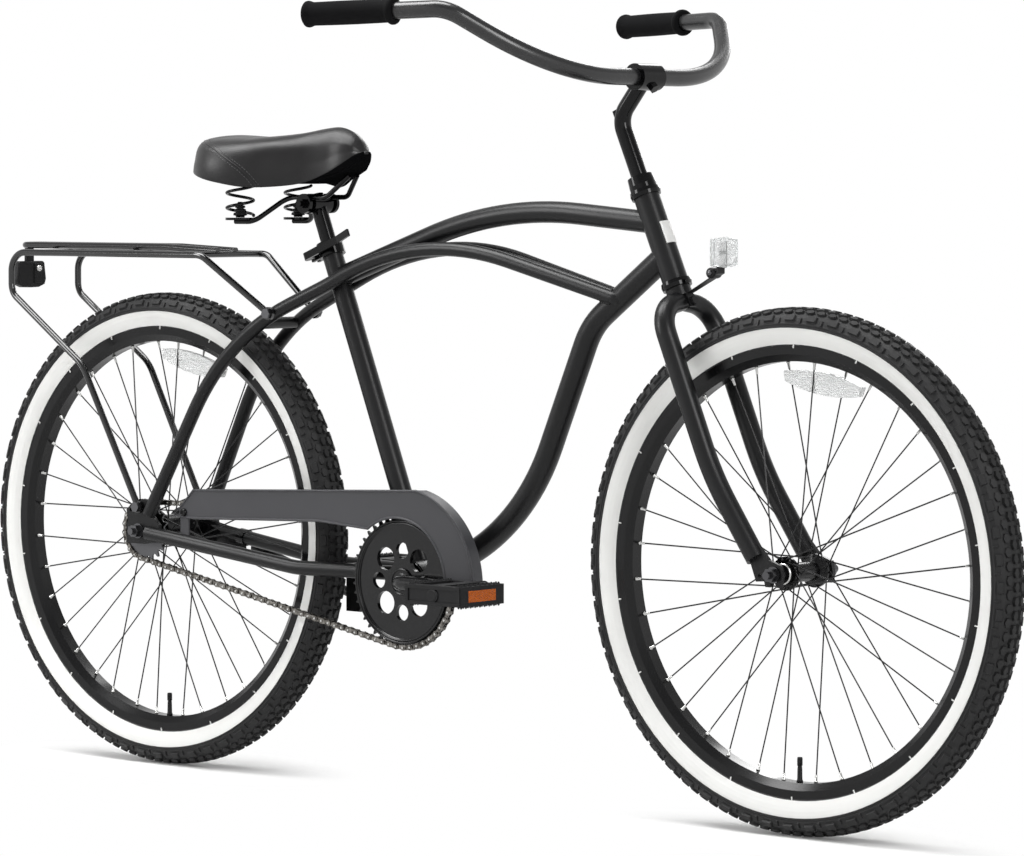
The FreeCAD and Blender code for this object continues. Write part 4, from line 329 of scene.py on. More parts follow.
seat_clamp_middle = Vector((-0.2715, 0.0, 0.7967))
coil_foot, coil_head, coil_radius, wire = -0.0168, 0.0243, 0.0185, 0.0022
coil_steps = 72
springs = bmesh.new()
stops = bmesh.new()
for side in (-1, 1):
    foot = seat_clamp_middle + Vector((-0.092, side * 0.058, 0.0))
    coil = bmesh.new()
    bmesh.ops.create_circle(coil, segments=12, radius=wire, cap_ends=True, matrix=(
        Matrix.Translation((coil_radius, 0.0, coil_foot)) @ Matrix.Rotation(math.pi / 2, 4, "X")))
    bmesh.ops.spin(coil, geom=coil.faces[:], cent=(0, 0, 0), axis=(0, 0, 1), angle=4 * math.pi,
                   dvec=(0, 0, (coil_head - coil_foot) / coil_steps), steps=coil_steps,
                   use_merge=False, use_duplicate=False)
    bmesh.ops.recalc_face_normals(coil, faces=coil.faces)
    bmesh.ops.rotate(coil, cent=(0, 0, 0), matrix=Matrix.Rotation(math.radians(35), 3, "Z"), verts=coil.verts)
    bmesh.ops.translate(coil, vec=foot, verts=coil.verts)
    add_to(springs, coil)
    add_to(stops, turned([(0.0, 0.0215), (0.0030, 0.0215), (0.0040, 0.0200), (0.0042, 0.0165), (0.0070, 0.0160),
                          (0.0072, 0.0135), (0.0046, 0.0125), (0.0080, 0.0110), (0.0084, 0.0085), (0.0050, 0.0075),
                          (0.0092, 0.0060), (0.0098, 0.0030), (0.0062, 0.0020), (0.0062, 0.0), (0.0, 0.0)],
                         foot + Vector((0, 0, coil_foot - 0.0024)), (0, 0, 1), 20))
spring_coils = mesh_piece("spring_coils", springs, [gloss_enamel], "seat_post_body")
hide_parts("saddle_springs")
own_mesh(spring_coils)
mesh_piece("spring_stops", stops, [moulded_black], "seat_post_body")

# Saddle cover: black grained vinyl stretched over foam and tucked under the pan, with raw black
# cloth backing below the hem. It swells a little in the cloth simulation, so that the sides stand full.
saddle_vinyl, tree, shader = finish_of("black_grained_vinyl", "#121112", 0.4, Specular_IOR_Level=0.34)
place = put(tree, "ShaderNodeTexCoord")
cells = put(tree, "ShaderNodeTexVoronoi", {"Vector": place.outputs["Object"], "Scale": 1000.0 / 1.3})
wrinkle = put(tree, "ShaderNodeTexNoise", {"Vector": place.outputs["Object"], "Scale": 1000.0 / 22.0, "Detail": 3.0})
grain = put(tree, "ShaderNodeBump", {"Height": cells.outputs["Distance"], "Strength": 0.22, "Distance": 0.0003})
soft = put(tree, "ShaderNodeBump", {
    "Height": wrinkle.outputs["Fac"], "Strength": 0.07, "Distance": 0.0016, "Normal": grain.outputs["Normal"]})
tree.links.new(soft.outputs["Normal"], shader.inputs["Normal"])
rub = put(tree, "ShaderNodeMapRange", {
    "Value": wrinkle.outputs["Fac"], "From Min": 0.3, "From Max": 0.7, "To Min": 0.35, "To Max": 0.45})
tree.links.new(rub.outputs["Result"], shader.inputs["Roughness"])
cloth_backing, tree, shader = finish_of("raw_black_backing", "#0d0d0e", 1.0, Specular_IOR_Level=0.0)
peel(tree, shader, 0.8, 0.3, 0.95, 1.0, ("#0a0a0b", "#101011"))
paint_node(cloth_backing, "saddle_pan")


def settle(piece):
    """Applies what the modifiers give to the piece's own mesh."""
    graph = bpy.context.evaluated_depsgraph_get()
    mesh = bpy.data.meshes.new_from_object(piece.evaluated_get(graph), depsgraph=graph)
    piece.modifiers.clear()
    piece.data = mesh


def spline(points, count):
    """Rows of numbers along a smooth curve through the given rows."""
    rows = []
    for step in range(count):
        along = step / (count - 1) * (len(points) - 1)
        index = min(int(along), len(points) - 2)
        t = along - index
        four = [points[min(max(index + k, 0), len(points) - 1)] for k in (-1, 0, 1, 2)]
        rows.append([0.5 * (2 * b + (c - a) * t + (2 * a - 5 * b + 4 * c - d) * t * t
                            + (3 * b - a - 3 * c + d) * t ** 3) for a, b, c, d in zip(*four)])
    return rows


# Millimetres from the clamp: ahead, half width, hem, crown, drop at the shoulder, underside.
saddle_sections = [(-171, 36, 58, 82, 3, 60), (-166.5, 64, 48, 89.5, 2.5, 51), (-152, 91, 41.5, 91, 2, 46),
                   (-122, 108, 34, 88.5, 2.5, 35.6), (-88, 109, 27, 87, 3.5, 30.6), (-50, 96, 20.5, 89, 6, 31),
                   (-14, 69, 21.5, 93, 9, 31.6), (16, 47, 27, 98, 12, 33.6), (46, 34, 41, 100.5, 12.5, 38.6),
                   (68, 28, 54, 97.5, 10, 45.6), (82, 20, 65, 90, 6, 54), (89, 11, 70, 80.5, 3, 62),
                   (91, 5, 71.5, 75.5, 1.2, 67)]
bm = bmesh.new()
hold = bm.verts.layers.float.new("hold")
rings = []
for ahead, wide, hem, crown, drop, under in spline(saddle_sections, 64):
    shoulder = crown - drop
    tall = shoulder - hem
    upper = spline([(0.985 * wide, hem), (wide, hem + 0.28 * tall), (0.975 * wide, hem + 0.57 * tall),
                    (0.90 * wide, hem + 0.82 * tall), (0.74 * wide, hem + 0.975 * tall),
                    (0.42 * wide, crown - 0.36 * drop), (0.0, crown)], 17)
    lower = [(0.94 * wide, (hem + under) / 2), (0.86 * wide, under), (0.5 * wide, under)]
    half = [(y, z, 0.0) for y, z in reversed(lower)] + [
        (y, z, min(1.0, index / 4)) for index, (y, z) in enumerate(upper)]
    loop = [(0.0, under, 0.0)] + half + [(-y, z, free) for y, z, free in reversed(half[:-1])]
    ring = []
    for y, z, free in loop:
        vertex = bm.verts.new(seat_clamp_middle + Vector((ahead, y, z)) / 1000.0)
        vertex[hold] = free
        ring.append(vertex)
    rings.append(ring)
count = len(rings[0])
for first, last in zip(rings, rings[1:]):
    for index in range(count):
        after = (index + 1) % count
        face = bm.faces.new((first[index], first[after], last[after], last[index]))
        face.material_index = 1 if min(index, count - 1 - index) < 4 else 0
for ring in (rings[0], rings[-1]):
    bmesh.ops.poke(bm, faces=[bm.faces.new(ring)])
bmesh.ops.recalc_face_normals(bm, faces=bm.faces)
bm.verts.index_update()
beside = [[edge.other_vert(vertex).index for edge in vertex.link_edges] for vertex in bm.verts]
free_share = [vertex[hold] for vertex in bm.verts]
cover = mesh_piece("saddle_cushion", bm, [saddle_vinyl, cloth_backing], "saddle")
swell_frames, most_swell, smoothing_rounds = 20, 0.005, 12
began = [vertex.co.copy() for vertex in cover.data.vertices]
swell = cover.modifiers.new("stretched_vinyl", "CLOTH")
swell.settings.use_pressure = True
swell.settings.uniform_pressure_force = 4.0
swell.settings.effector_weights.gravity = 0.0
for step in range(1, swell_frames + 1):
    bpy.context.scene.frame_set(step)
settle(cover)
bpy.context.scene.frame_set(1)
moves = []
for vertex, start in zip(cover.data.vertices, began):
    move = vertex.co - start
    moves.append(move.normalized() * min(move.length, most_swell))
for _ in range(smoothing_rounds):
    around = [sum((moves[k] for k in near), Vector()) / len(near) for near in beside]
    moves = [(move + mean) / 2 for move, mean in zip(moves, around)]
for vertex, start, move, free in zip(cover.data.vertices, began, moves, free_share):
    vertex.co = start + move * free
for face in cover.data.polygons:
    face.use_smooth = True
fine = cover.modifiers.new("smooth_skin", "SUBSURF")
fine.levels = fine.render_levels = 1
settle(cover)
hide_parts("saddle_cover")


# Saddle seam: the tail panel is sewn to the top panel with a pressed seam and a row of black
# thread stitches on each side of it; the thread's grey colour is partly a painted sheen.
def seam_on_cover(offset):
    """The seam's line on the cover, moved sideways: up the right side, over the tail, down the left."""
    side_rows = spline([(-34, 21), (-45, 38), (-61, 52.3), (-93, 70.8), (-116, 79), (-146, 86.5)], 40)
    sides = []
    for side in (-1, 1):
        run = []
        for index, (ahead, high) in enumerate(side_rows):
            before, after = side_rows[max(index - 1, 0)], side_rows[min(index + 1, 39)]
            way = Vector((after[0] - before[0], after[1] - before[1])).normalized()
            spot = seat_clamp_middle + Vector((ahead + way.y * offset, side * 300, high - way.x * offset)) / 1000.0
            hit = cover_surface.ray_cast(spot, Vector((0, -side, 0)))[0]
            if hit is not None:
                run.append(hit)
        sides.append(run)
    over = []
    for step in range(31):
        across = 0.070 * (step / 15 - 1)
        spot = seat_clamp_middle + Vector((-0.156 - offset / 1000.0, across, 0.2))
        hit = cover_surface.ray_cast(spot, Vector((0, 0, -1)))[0]
        if hit is not None:
            over.append(hit)
    return sides[0] + over + sides[1][::-1]


def tube_along(target, line, radius, closed=False):
    """Adds a thin round tube that follows a line of points."""
    path = bpy.data.curves.new("path", "CURVE")
    path.dimensions = "3D"
    path.bevel_depth = radius
    path.bevel_resolution = 2
    run = path.splines.new("POLY")
    run.points.add(len(line) - 1)
    for point, place in zip(run.points, line):
        point.co = (*place, 1.0)
    run.use_cyclic_u = closed
    follower = bpy.data.objects.new("path", path)
    mesh = bpy.data.meshes.new_from_object(follower)
    target.from_mesh(mesh)
    bpy.data.objects.remove(follower)
    bpy.data.curves.remove(path)
    bpy.data.meshes.remove(mesh)


cover_surface = surface_of(cover.data)
# The thread is black; its dark grey colour stands partly for the thread's sheen, a painted highlight.
thread, tree, shader = finish_of("black_thread_painted_sheen", "#4a4a4b", 0.7, Specular_IOR_Level=0.3)
peel(tree, shader, 0.4, 0.3, 0.62, 0.78, ("#424243", "#525253"))
bm = bmesh.new()
tube_along(bm, seam_on_cover(0.0), 0.0009)
mesh_piece("saddle_seam", bm, [saddle_vinyl], "saddle")
bm = bmesh.new()
stitch_spacing = 0.0046
for offset in (-3.4, 3.4):
    line = seam_on_cover(offset)
    walked, wanted = 0.0, 0.0
    for first, last in zip(line, line[1:]):
        span = (last - first).length
        while wanted <= walked + span and span > 0:
            spot = first.lerp(last, (wanted - walked) / span)
            lie = (last - first).to_track_quat("X", "Z").to_matrix().to_4x4()
            bmesh.ops.create_uvsphere(bm, u_segments=6, v_segments=4, radius=0.0005, matrix=(
                Matrix.Translation(spot) @ lie @ Matrix.Diagonal((3.4, 1.0, 1.0, 1.0))))
            wanted += stitch_spacing
        walked += span
mesh_piece("saddle_stitches", bm, [thread], "saddle")

# Fork, stem and bar: the fork is in the frame's powder coat; the stem and the swept-back bar
# are drawn steel in gloss black.
paint_node(gloss_enamel, "stem")
bar_enamel, tree, shader = finish_of("black_satin_bar_enamel", "#161617", 0.26, Specular_IOR_Level=0.6)
peel(tree, shader, 2.4, 0.01, 0.22, 0.32, ("#141415", "#19191a"))
paint_node(bar_enamel, "handlebar")

# Grips: closed-cell foam sleeves, a little barrelled, with a raised collar at the thumb and
# a mushroom end, pushed on to the bar's ends.
grip_foam, tree, shader = finish_of("black_foam_rubber", "#0f0f10", 0.9, Specular_IOR_Level=0.08)
peel(tree, shader, 1.1, 0.35, 0.82, 0.95, ("#0c0c0d", "#131314"))
bar_middle = Vector((0.30745, 0.0, 0.96170))
bm = bmesh.new()
for side in (-1, 1):
    tip = bar_middle + Vector((-0.294, side * 0.320, 0.079))
    before = bar_middle + Vector((-0.097, side * 0.277, 0.083))
    way = (tip - before).normalized()
    add_to(bm, turned([(0.0114, 0.0), (0.0150, 0.0), (0.0172, 0.0010), (0.0180, 0.0030), (0.0180, 0.0058),
                       (0.0170, 0.0078), (0.0154, 0.0092), (0.0150, 0.0120), (0.0152, 0.0260), (0.0155, 0.0560),
                       (0.0155, 0.0800), (0.0152, 0.1100), (0.0151, 0.1200), (0.0158, 0.1230), (0.0168, 0.1255),
                       (0.0172, 0.1278), (0.0168, 0.1300), (0.0150, 0.1316), (0.0, 0.1320)],
                      tip - way * 0.128, way, 32))
grip_sleeves = mesh_piece("grip_sleeves", bm, [grip_foam], "steering")
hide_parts("grips")

# Front reflector: a clear moulded block, peaked above and below, with fields of fine prisms beside
# a plain middle rib. It clips to a bent steel strap on the fork crown, under a bolted black knuckle.
paint_node(moulded_black, "front_reflector_bracket")


def prism_plastic(name, colour, pitch, through, plane, gloss=0.5):
    """Clear moulded plastic whose back is a field of small corner prisms."""
    material, tree, shader = finish_of(name, colour, 0.12, Transmission_Weight=through, IOR=1.49,
                                       Specular_IOR_Level=gloss)
    place = put(tree, "ShaderNodeTexCoord")
    lay = put(tree, "ShaderNodeMapping", {"Vector": place.outputs["Object"], "Rotation": plane})
    prisms = put(tree, "ShaderNodeTexVoronoi", {"Vector": lay.outputs[0], "Scale": 1000.0 / pitch, "Randomness": 0.0},
                 voronoi_dimensions="2D", distance="MANHATTAN")
    bump = put(tree, "ShaderNodeBump", {"Height": prisms.outputs["Distance"], "Strength": 0.8,
                                        "Distance": pitch / 2500.0})
    tree.links.new(bump.outputs["Normal"], shader.inputs["Normal"])
    return material


def block(bm, place, size):
    """Adds a square-edged block with its middle at a place."""
    bmesh.ops.create_cube(bm, size=1.0, matrix=Matrix.Translation(place) @ Matrix.Diagonal((*size, 1.0)))


def round_off(bm, edges, radius, segments):
    """Rounds the given edges, as a mould does."""
    bmesh.ops.bevel(bm, geom=edges, offset=radius, offset_type="OFFSET", affect="EDGES", segments=segments,
                    profile=0.5, material=-1)


clear_front = prism_plastic("clear_prismatic_plastic", "#f2f3f3", 2.4, 0.25, (0.0, math.pi / 2, math.pi / 4))
clear_rim, tree, shader = finish_of("clear_smooth_plastic", "#f1f3f3", 0.06, Transmission_Weight=0.6, IOR=1.49)
peel(tree, shader, 3.0, 0.04, 0.05, 0.1)
low, high = (Vector(corner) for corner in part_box("front_reflector"))
bm = bmesh.new()
block(bm, (low + high) / 2, high - low)
middle_z = (low.z + high.z) / 2
bmesh.ops.bisect_plane(bm, geom=bm.verts[:] + bm.edges[:] + bm.faces[:], plane_co=(0, 0, 0), plane_no=(0, 1, 0))
bmesh.ops.bisect_plane(bm, geom=bm.verts[:] + bm.edges[:] + bm.faces[:], plane_co=(0, 0, middle_z),
                       plane_no=(0, 0, 1))
for vertex in bm.verts:
    edge_on = abs(vertex.co.y) > 0.001
    if edge_on and abs(vertex.co.z - middle_z) > 0.001:
        vertex.co.z = middle_z + (vertex.co.z - middle_z) * 0.82
        vertex.co.y *= 0.96
round_off(bm, [e for e in bm.edges if e.calc_face_angle(0) > 0.5], 0.0012, 2)
face_plates = [f for f in bm.faces if f.normal.x > 0.9 and f.calc_area() > 0.0001]
bmesh.ops.inset_individual(bm, faces=face_plates, thickness=0.0026, depth=0.0)
bmesh.ops.inset_individual(bm, faces=face_plates, thickness=0.0004, depth=-0.0012)
for face in bm.faces:
    face.material_index = 1
for face in face_plates:
    face.material_index = 0
front_lens = mesh_piece("front_lens", bm, [clear_front, clear_rim], "steering", smooth=False)
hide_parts("front_reflector")
knuckle_middle = (0.4215, 0.0, 0.7105)
bm = turned([(0.0, -0.0092), (0.0056, -0.0092), (0.0068, -0.0080), (0.0072, -0.0060), (0.0072, 0.0060),
             (0.0068, 0.0080), (0.0056, 0.0092), (0.0, 0.0092)], knuckle_middle, (0, -1, 0), 24)
add_to(bm, turned([(0.0, 0.0112), (0.0030, 0.0112), (0.0036, 0.0104), (0.0036, 0.0088), (0.0, 0.0088)],
                  knuckle_middle, (0, -1, 0), 16), 1)
mesh_piece("reflector_knuckle", bm, [moulded_black, dark_plating], "steering")

# Wheels: rolled alloy rims and machined hubs, black anodised to a soft gloss, laced with black
# steel spokes; each spoke's nipple is bright plated brass seated in the rim's floor.
black_anodise, tree, shader = finish_of("black_anodised_alloy", "#0c0c0d", 0.2, Specular_IOR_Level=0.26)
peel(tree, shader, 0.9, 0.05, 0.16, 0.26, ("#0a0a0b", "#0f0f10"))
paint_node(black_anodise, "front_rim", "rear_rim", "front_hub", "rear_hub")
spoke_black, tree, shader = finish_of("black_plated_wire", "#111112", 0.35, Specular_IOR_Level=0.3)
peel(tree, shader, 0.6, 0.05, 0.3, 0.4, ("#101011", "#181819"))
paint_node(spoke_black, "front_spokes", "rear_spokes")
bright_plating, tree, shader = finish_of("bright_plated_steel", "#c9c9c7", 0.24, Metallic=1.0)
peel(tree, shader, 0.8, 0.05, 0.2, 0.32, ("#bdbdbb", "#d4d4d2"))
nipple_seat = 0.2665
for name, axle, root_radius, flange in (("front", front_axle, 0.018, 0.030), ("rear", rear_axle, 0.0255, 0.028)):
    nipples = bmesh.new()
    heads = bmesh.new()
    for index in range(36):
        side = 1 if index % 2 else -1
        trailing = 1 if (index // 2) % 2 else -1
        rim_turn = math.radians(10.0 * (index + 0.5))
        hub_turn = rim_turn + trailing * math.radians(60.0)
        end = axle + Vector((math.cos(rim_turn) * nipple_seat, side * 0.003, math.sin(rim_turn) * nipple_seat))
        hole = axle + Vector((math.cos(hub_turn) * root_radius, side * flange, math.sin(hub_turn) * root_radius))
        inward = (hole + Vector((0, side * trailing * 0.0027, 0)) - end).normalized()
        add_to(nipples, turned([(0.0, 0.0), (0.0026, 0.0), (0.0026, 0.0018), (0.0018, 0.0022), (0.0016, 0.0092),
                                (0.0011, 0.0098), (0.0, 0.0098)], end, inward, 8))
        bmesh.ops.create_uvsphere(heads, u_segments=8, v_segments=5, radius=0.0021, matrix=Matrix.Translation(
            hole - Vector((0, side * trailing * 0.0019, 0))))
    mesh_piece(name + "_nipples", nipples, [bright_plating], name + "_wheel")
    mesh_piece(name + "_spoke_heads", heads, [spoke_black], name + "_wheel")

# Front hub seals: a ring pressed from sheet steel and plated bright, round each end of the hub
# shell, over the bearings.
bm = bmesh.new()
for side in (-1, 1):
    add_to(bm, turned([(0.0124, 0.0352), (0.0136, 0.0355), (0.0138, 0.0372), (0.0136, 0.0390), (0.0124, 0.0394)],
                      front_axle, (0, side, 0), 32))
mesh_piece("front_hub_seals", bm, [bright_plating], "front_wheel")


# Tyres: black rubber over a cloth casing, vulcanised in a mould that leaves a ribbed shoulder,
# six-sided tread blocks, and a band of white rubber above the rim with small moulding nubs.
def raise_faces(bm, faces, way):
    """Gives faces a thickness and returns the corners that moved."""
    raised = bmesh.ops.extrude_face_region(bm, geom=faces)
    moved = [item for item in raised["geom"] if isinstance(item, bmesh.types.BMVert)]
    bmesh.ops.translate(bm, vec=way, verts=moved)
    return moved


def ring_of(target, axle, count, matrices, size, taper, segments=6, material_index=0, half_step=False):
    """Adds blocks round a wheel: one block shaped, stood by each matrix and spun into a ring."""
    for matrix in matrices:
        bm = bmesh.new()
        flat = bmesh.ops.create_circle(bm, segments=segments, radius=1.0, cap_ends=True,
                                       matrix=Matrix.Rotation(math.pi / segments, 4, "Z") if segments == 4 else
                                       Matrix.Identity(4))
        bmesh.ops.scale(bm, vec=(size[0], size[1], 1.0), verts=flat["verts"])
        top = raise_faces(bm, bm.faces[:], (0, 0, size[2]))
        bmesh.ops.scale(bm, vec=(taper, taper, 1.0), verts=top)
        bmesh.ops.recalc_face_normals(bm, faces=bm.faces)
        bmesh.ops.transform(bm, matrix=matrix, verts=bm.verts)
        if half_step:
            bmesh.ops.rotate(bm, cent=(0, 0, 0), matrix=Matrix.Rotation(math.pi / count, 3, "Y"), verts=bm.verts)
        bmesh.ops.spin(bm, geom=bm.verts[:] + bm.edges[:] + bm.faces[:], cent=(0, 0, 0), axis=(0, 1, 0),
                       angle=2 * math.pi * (count - 1) / count, steps=count - 1, use_duplicate=True)
        bmesh.ops.translate(bm, vec=axle, verts=bm.verts)
        add_to(target, bm, material_index)


def stood(radius, across, lean):
    """Stands a block on the tyre: its foot at a radius and a distance to the side, leaning out."""
    return Matrix.Translation((0.0, across, radius)) @ Matrix.Rotation(-lean, 4, "X")


tyre_rubber, tree, shader = finish_of("black_tyre_rubber", "#1d1d1e", 0.62, Specular_IOR_Level=0.3)
peel(tree, shader, 1.0, 0.15, 0.54, 0.7, ("#191919", "#212122"))
white_rubber, tree, shader = finish_of("white_sidewall_rubber", "#dededc", 0.55, Specular_IOR_Level=0.2)
peel(tree, shader, 1.2, 0.06, 0.5, 0.62, ("#d9d9d7", "#e3e3e1"))
half_casing = [(0.2796, 0.0132), (0.2878, 0.0166), (0.2880, 0.0172), (0.2915, 0.0197), (0.2960, 0.0222),
               (0.3010, 0.0240), (0.3060, 0.0250), (0.3092, 0.0253), (0.3096, 0.0262), (0.3112, 0.0263),
               (0.3117, 0.0255), (0.3132, 0.0254), (0.3136, 0.0261), (0.3152, 0.0259), (0.3158, 0.0250),
               (0.3185, 0.0240), (0.3222, 0.0220), (0.3258, 0.0184), (0.3287, 0.0130), (0.3305, 0.0066)]
casing = half_casing + [(0.3311, 0.0)] + [(radius, -across) for radius, across in reversed(half_casing)]
for name, axle in (("front", front_axle), ("rear", rear_axle)):
    bm = turned(casing, (0, 0, 0), (0, 1, 0), 144, closed=True)
    for face in bm.faces:
        middle = face.calc_center_median()
        band = math.hypot(middle.x, middle.z)
        face.material_index = 1 if 0.2879 < band < 0.3093 and abs(middle.y) > 0.015 else 0
    bmesh.ops.translate(bm, vec=axle, verts=bm.verts)
    ring_of(bm, axle, 120, [stood(0.3300, 0.0050, 0.17), stood(0.3300, -0.0050, -0.17)],
            (0.0072, 0.0045, 0.0044), 0.86)
    ring_of(bm, axle, 120, [stood(0.3268, 0.0136, 0.52), stood(0.3268, -0.0136, -0.52)],
            (0.0072, 0.0045, 0.0046), 0.86, half_step=True)
    ring_of(bm, axle, 60, [stood(0.3205, 0.0216, 0.95), stood(0.3205, -0.0216, -0.95)],
            (0.0110, 0.0062, 0.0036), 0.84, segments=4)
    ring_of(bm, axle, 60, [stood(0.3178, 0.0238, 1.12), stood(0.3178, -0.0238, -1.12)],
            (0.0016, 0.0062, 0.0022), 0.7, segments=4, half_step=True)
    ring_of(bm, axle, 18, [stood(0.2862, 0.0162, 1.35), stood(0.2862, -0.0162, -1.35)],
            (0.0011, 0.0042, 0.0012), 0.8, segments=4, material_index=1)
    tyre = mesh_piece(name + "_tread_tyre", bm, [tyre_rubber, white_rubber], name + "_wheel",
                      smooth=False)
    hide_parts(name + "_tyre")
    valve = turned([(0.0, 0.0), (0.0042, 0.0), (0.0042, 0.0020), (0.0034, 0.0035), (0.0031, 0.0180),
                    (0.0028, 0.0200), (0.0028, 0.0210), (0.0035, 0.0212), (0.0035, 0.0300), (0.0030, 0.0318),
                    (0.0, 0.0320)], axle + Vector((0, 0, -nipple_seat)), (0, 0, 1), 16)
    mesh_piece(name + "_valve", valve, [moulded_black], name + "_wheel")

# Wheel reflectors: boat-shaped blocks of clear plastic, moulded with a honeycomb of prisms and
# clipped across a pair of spokes.
clear_side = prism_plastic("clear_honeycomb_plastic", "#f2f3f3", 3.0, 0.2, (math.pi / 2, 0.0, 0.0))
paint_node(clear_side, "front_wheel_reflector", "rear_wheel_reflector")

# Crank and chainring: a forged one-piece crank and a pressed, toothed disc in satin black enamel.
# The press rolls the edges of the disc's rim and windows over into thin beads.
crank_enamel, tree, shader = finish_of("black_satin_enamel", "#0d0d0e", 0.18, Specular_IOR_Level=0.36)
peel(tree, shader, 1.4, 0.02, 0.14, 0.22, ("#0b0b0c", "#101011"))
paint_node(crank_enamel, "crank", "chainring")


def rolled_edges(node, level, radius):
    """A bead along every sharp edge of a node's face that lies at one distance to the side."""
    bm = bmesh.new()
    bm.from_mesh(nodes[node].data)
    bmesh.ops.remove_doubles(bm, verts=bm.verts, dist=1e-5)
    sharp = {edge for edge in bm.edges if all(abs(v.co.y - level) < 0.0003 for v in edge.verts)
             and len(edge.link_faces) == 2 and edge.calc_face_angle(0.0) > 0.6}
    beads = bmesh.new()
    while sharp:
        edge = sharp.pop()
        line = [edge.verts[0].co.copy(), edge.verts[1].co.copy()]
        here, start = edge.verts[1], edge.verts[0]
        while here is not start:
            onward = next((e for e in here.link_edges if e in sharp), None)
            if onward is None:
                break
            sharp.remove(onward)
            here = onward.other_vert(here)
            line.append(here.co.copy())
        if here is start:
            line.pop()
        if len(line) > 3:
            tube_along(beads, line, radius, closed=here is start)
    bm.free()
    return beads


ring_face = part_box("chainring")[0][1]
bm = rolled_edges("chainring", ring_face, 0.0015)
mesh_piece("chainring_beads", bm, [crank_enamel], "crankset")

# Pedals: moulded black plastic bodies with rows of grip studs along the treads, a ribbed frame and a
# dust cap on the outer side, and amber reflectors let into both ends.
paint_node(moulded_black, "right_pedal", "left_pedal")
amber_prism = prism_plastic("amber_prismatic_plastic", "#a54e08", 2.2, 0.0, (0.0, math.pi / 2, math.pi / 4), 0.12)
paint_node(amber_prism, "right_pedal_reflectors", "left_pedal_reflectors")
for name, side in (("right", -1), ("left", 1)):
    low, high = (Vector(corner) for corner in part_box(name + "_pedal"))
    bm = bmesh.new()
    for lengthways in (low.x + 0.0040, low.x + 0.0085, high.x - 0.0085, high.x - 0.0040):
        for index in range(9):
            across = low.y + 0.006 + index * (high.y - low.y - 0.012) / 8
            for level, up in ((high.z, 1), (low.z, -1)):
                bmesh.ops.create_cone(bm, cap_ends=True, segments=4, radius1=0.0026, radius2=0.0012, depth=0.0028,
                                      matrix=Matrix.Translation((lengthways, across, level + up * 0.0013)) @
                                      Matrix.Rotation(0.0 if up > 0 else math.pi, 4, "X"))
    outer = low.y if side < 0 else high.y
    middle = (low + high) / 2
    span = high - low
    for place, size in (((middle.x, outer, high.z - 0.0026), (span.x - 0.0010, 0.0040, 0.0044)),
                        ((middle.x, outer, low.z + 0.0026), (span.x - 0.0010, 0.0040, 0.0044)),
                        ((low.x + 0.0032, outer, middle.z), (0.0054, 0.0034, span.z - 0.0100)),
                        ((high.x - 0.0032, outer, middle.z), (0.0054, 0.0034, span.z - 0.0100))):
        block(bm, place, size)
    add_to(bm, turned([(0.0, 0.0024), (0.0070, 0.0024), (0.0074, 0.0018), (0.0092, 0.0016), (0.0096, 0.0008),
                       (0.0096, -0.0010), (0.0, -0.0010)], (middle.x, outer, middle.z), (0, side, 0), 24))
    mesh_piece(name + "_pedal_studs", bm, [moulded_black], name + "_pedal_body", smooth=False)

# Chain: waisted steel plates in pairs on rollers, held by bright riveted pins; oiled, with
# brown dirt in the gaps. The rear sprocket is the same steel.
chain_steel, tree, shader = finish_of("oiled_chain_steel", "#88857f", 0.34, Metallic=1.0)
place = put(tree, "ShaderNodeTexCoord")
dirt = put(tree, "ShaderNodeTexNoise", {"Vector": place.outputs["Object"], "Scale": 1000.0 / 4.0, "Detail": 4.0})
tone = put(tree, "ShaderNodeValToRGB", {"Fac": dirt.outputs["Fac"]})
tone.color_ramp.elements[0].position = 0.35
tone.color_ramp.elements[0].color = linear("#383532")
tone.color_ramp.elements[1].position = 0.65
tone.color_ramp.elements[1].color = linear("#8a8782")
tree.links.new(tone.outputs["Color"], shader.inputs["Base Color"])
paint_node(dark_plating, "rear_cog")
bracket = Vector((-0.0708987, 0.0, 0.290))
pitch, ring_teeth, cog_teeth, links = 0.0127, 44, 20, 110
plate_thickness = 0.0011
chain_line = Vector((0.0, -0.0455, 0.0))
ring_pitch = pitch / (2 * math.sin(math.pi / ring_teeth))
cog_pitch = pitch / (2 * math.sin(math.pi / cog_teeth))
ahead = (bracket - rear_axle).normalized()
above = Vector((-ahead.z, 0.0, ahead.x))
centres = (bracket - rear_axle).length
lean = math.asin((ring_pitch - cog_pitch) / centres)
upper_touch = above * math.cos(lean) - ahead * math.sin(lean)
lower_touch = above * -math.cos(lean) - ahead * math.sin(lean)
straight = centres * math.cos(lean) / pitch
round_cog = (math.pi - 2 * lean) / (2 * math.pi / cog_teeth)
upper_turn = math.atan2(upper_touch.z, upper_touch.x)
lower_turn = math.atan2(lower_touch.z, lower_touch.x)


def roller_place(count):
    """Where the roller that many links round the loop sits, from the ring's upper touch."""
    if count < straight:
        return (bracket + upper_touch * ring_pitch).lerp(rear_axle + upper_touch * cog_pitch, count / straight)
    if count < straight + round_cog:
        turn = upper_turn + (count - straight) * 2 * math.pi / cog_teeth
        return rear_axle + Vector((math.cos(turn), 0.0, math.sin(turn))) * cog_pitch
    if count < 2 * straight + round_cog:
        return (rear_axle + lower_touch * cog_pitch).lerp(bracket + lower_touch * ring_pitch,
                                                         (count - straight - round_cog) / straight)
    turn = lower_turn + (count - 2 * straight - round_cog) * 2 * math.pi / ring_teeth
    return bracket + Vector((math.cos(turn), 0.0, math.sin(turn))) * ring_pitch


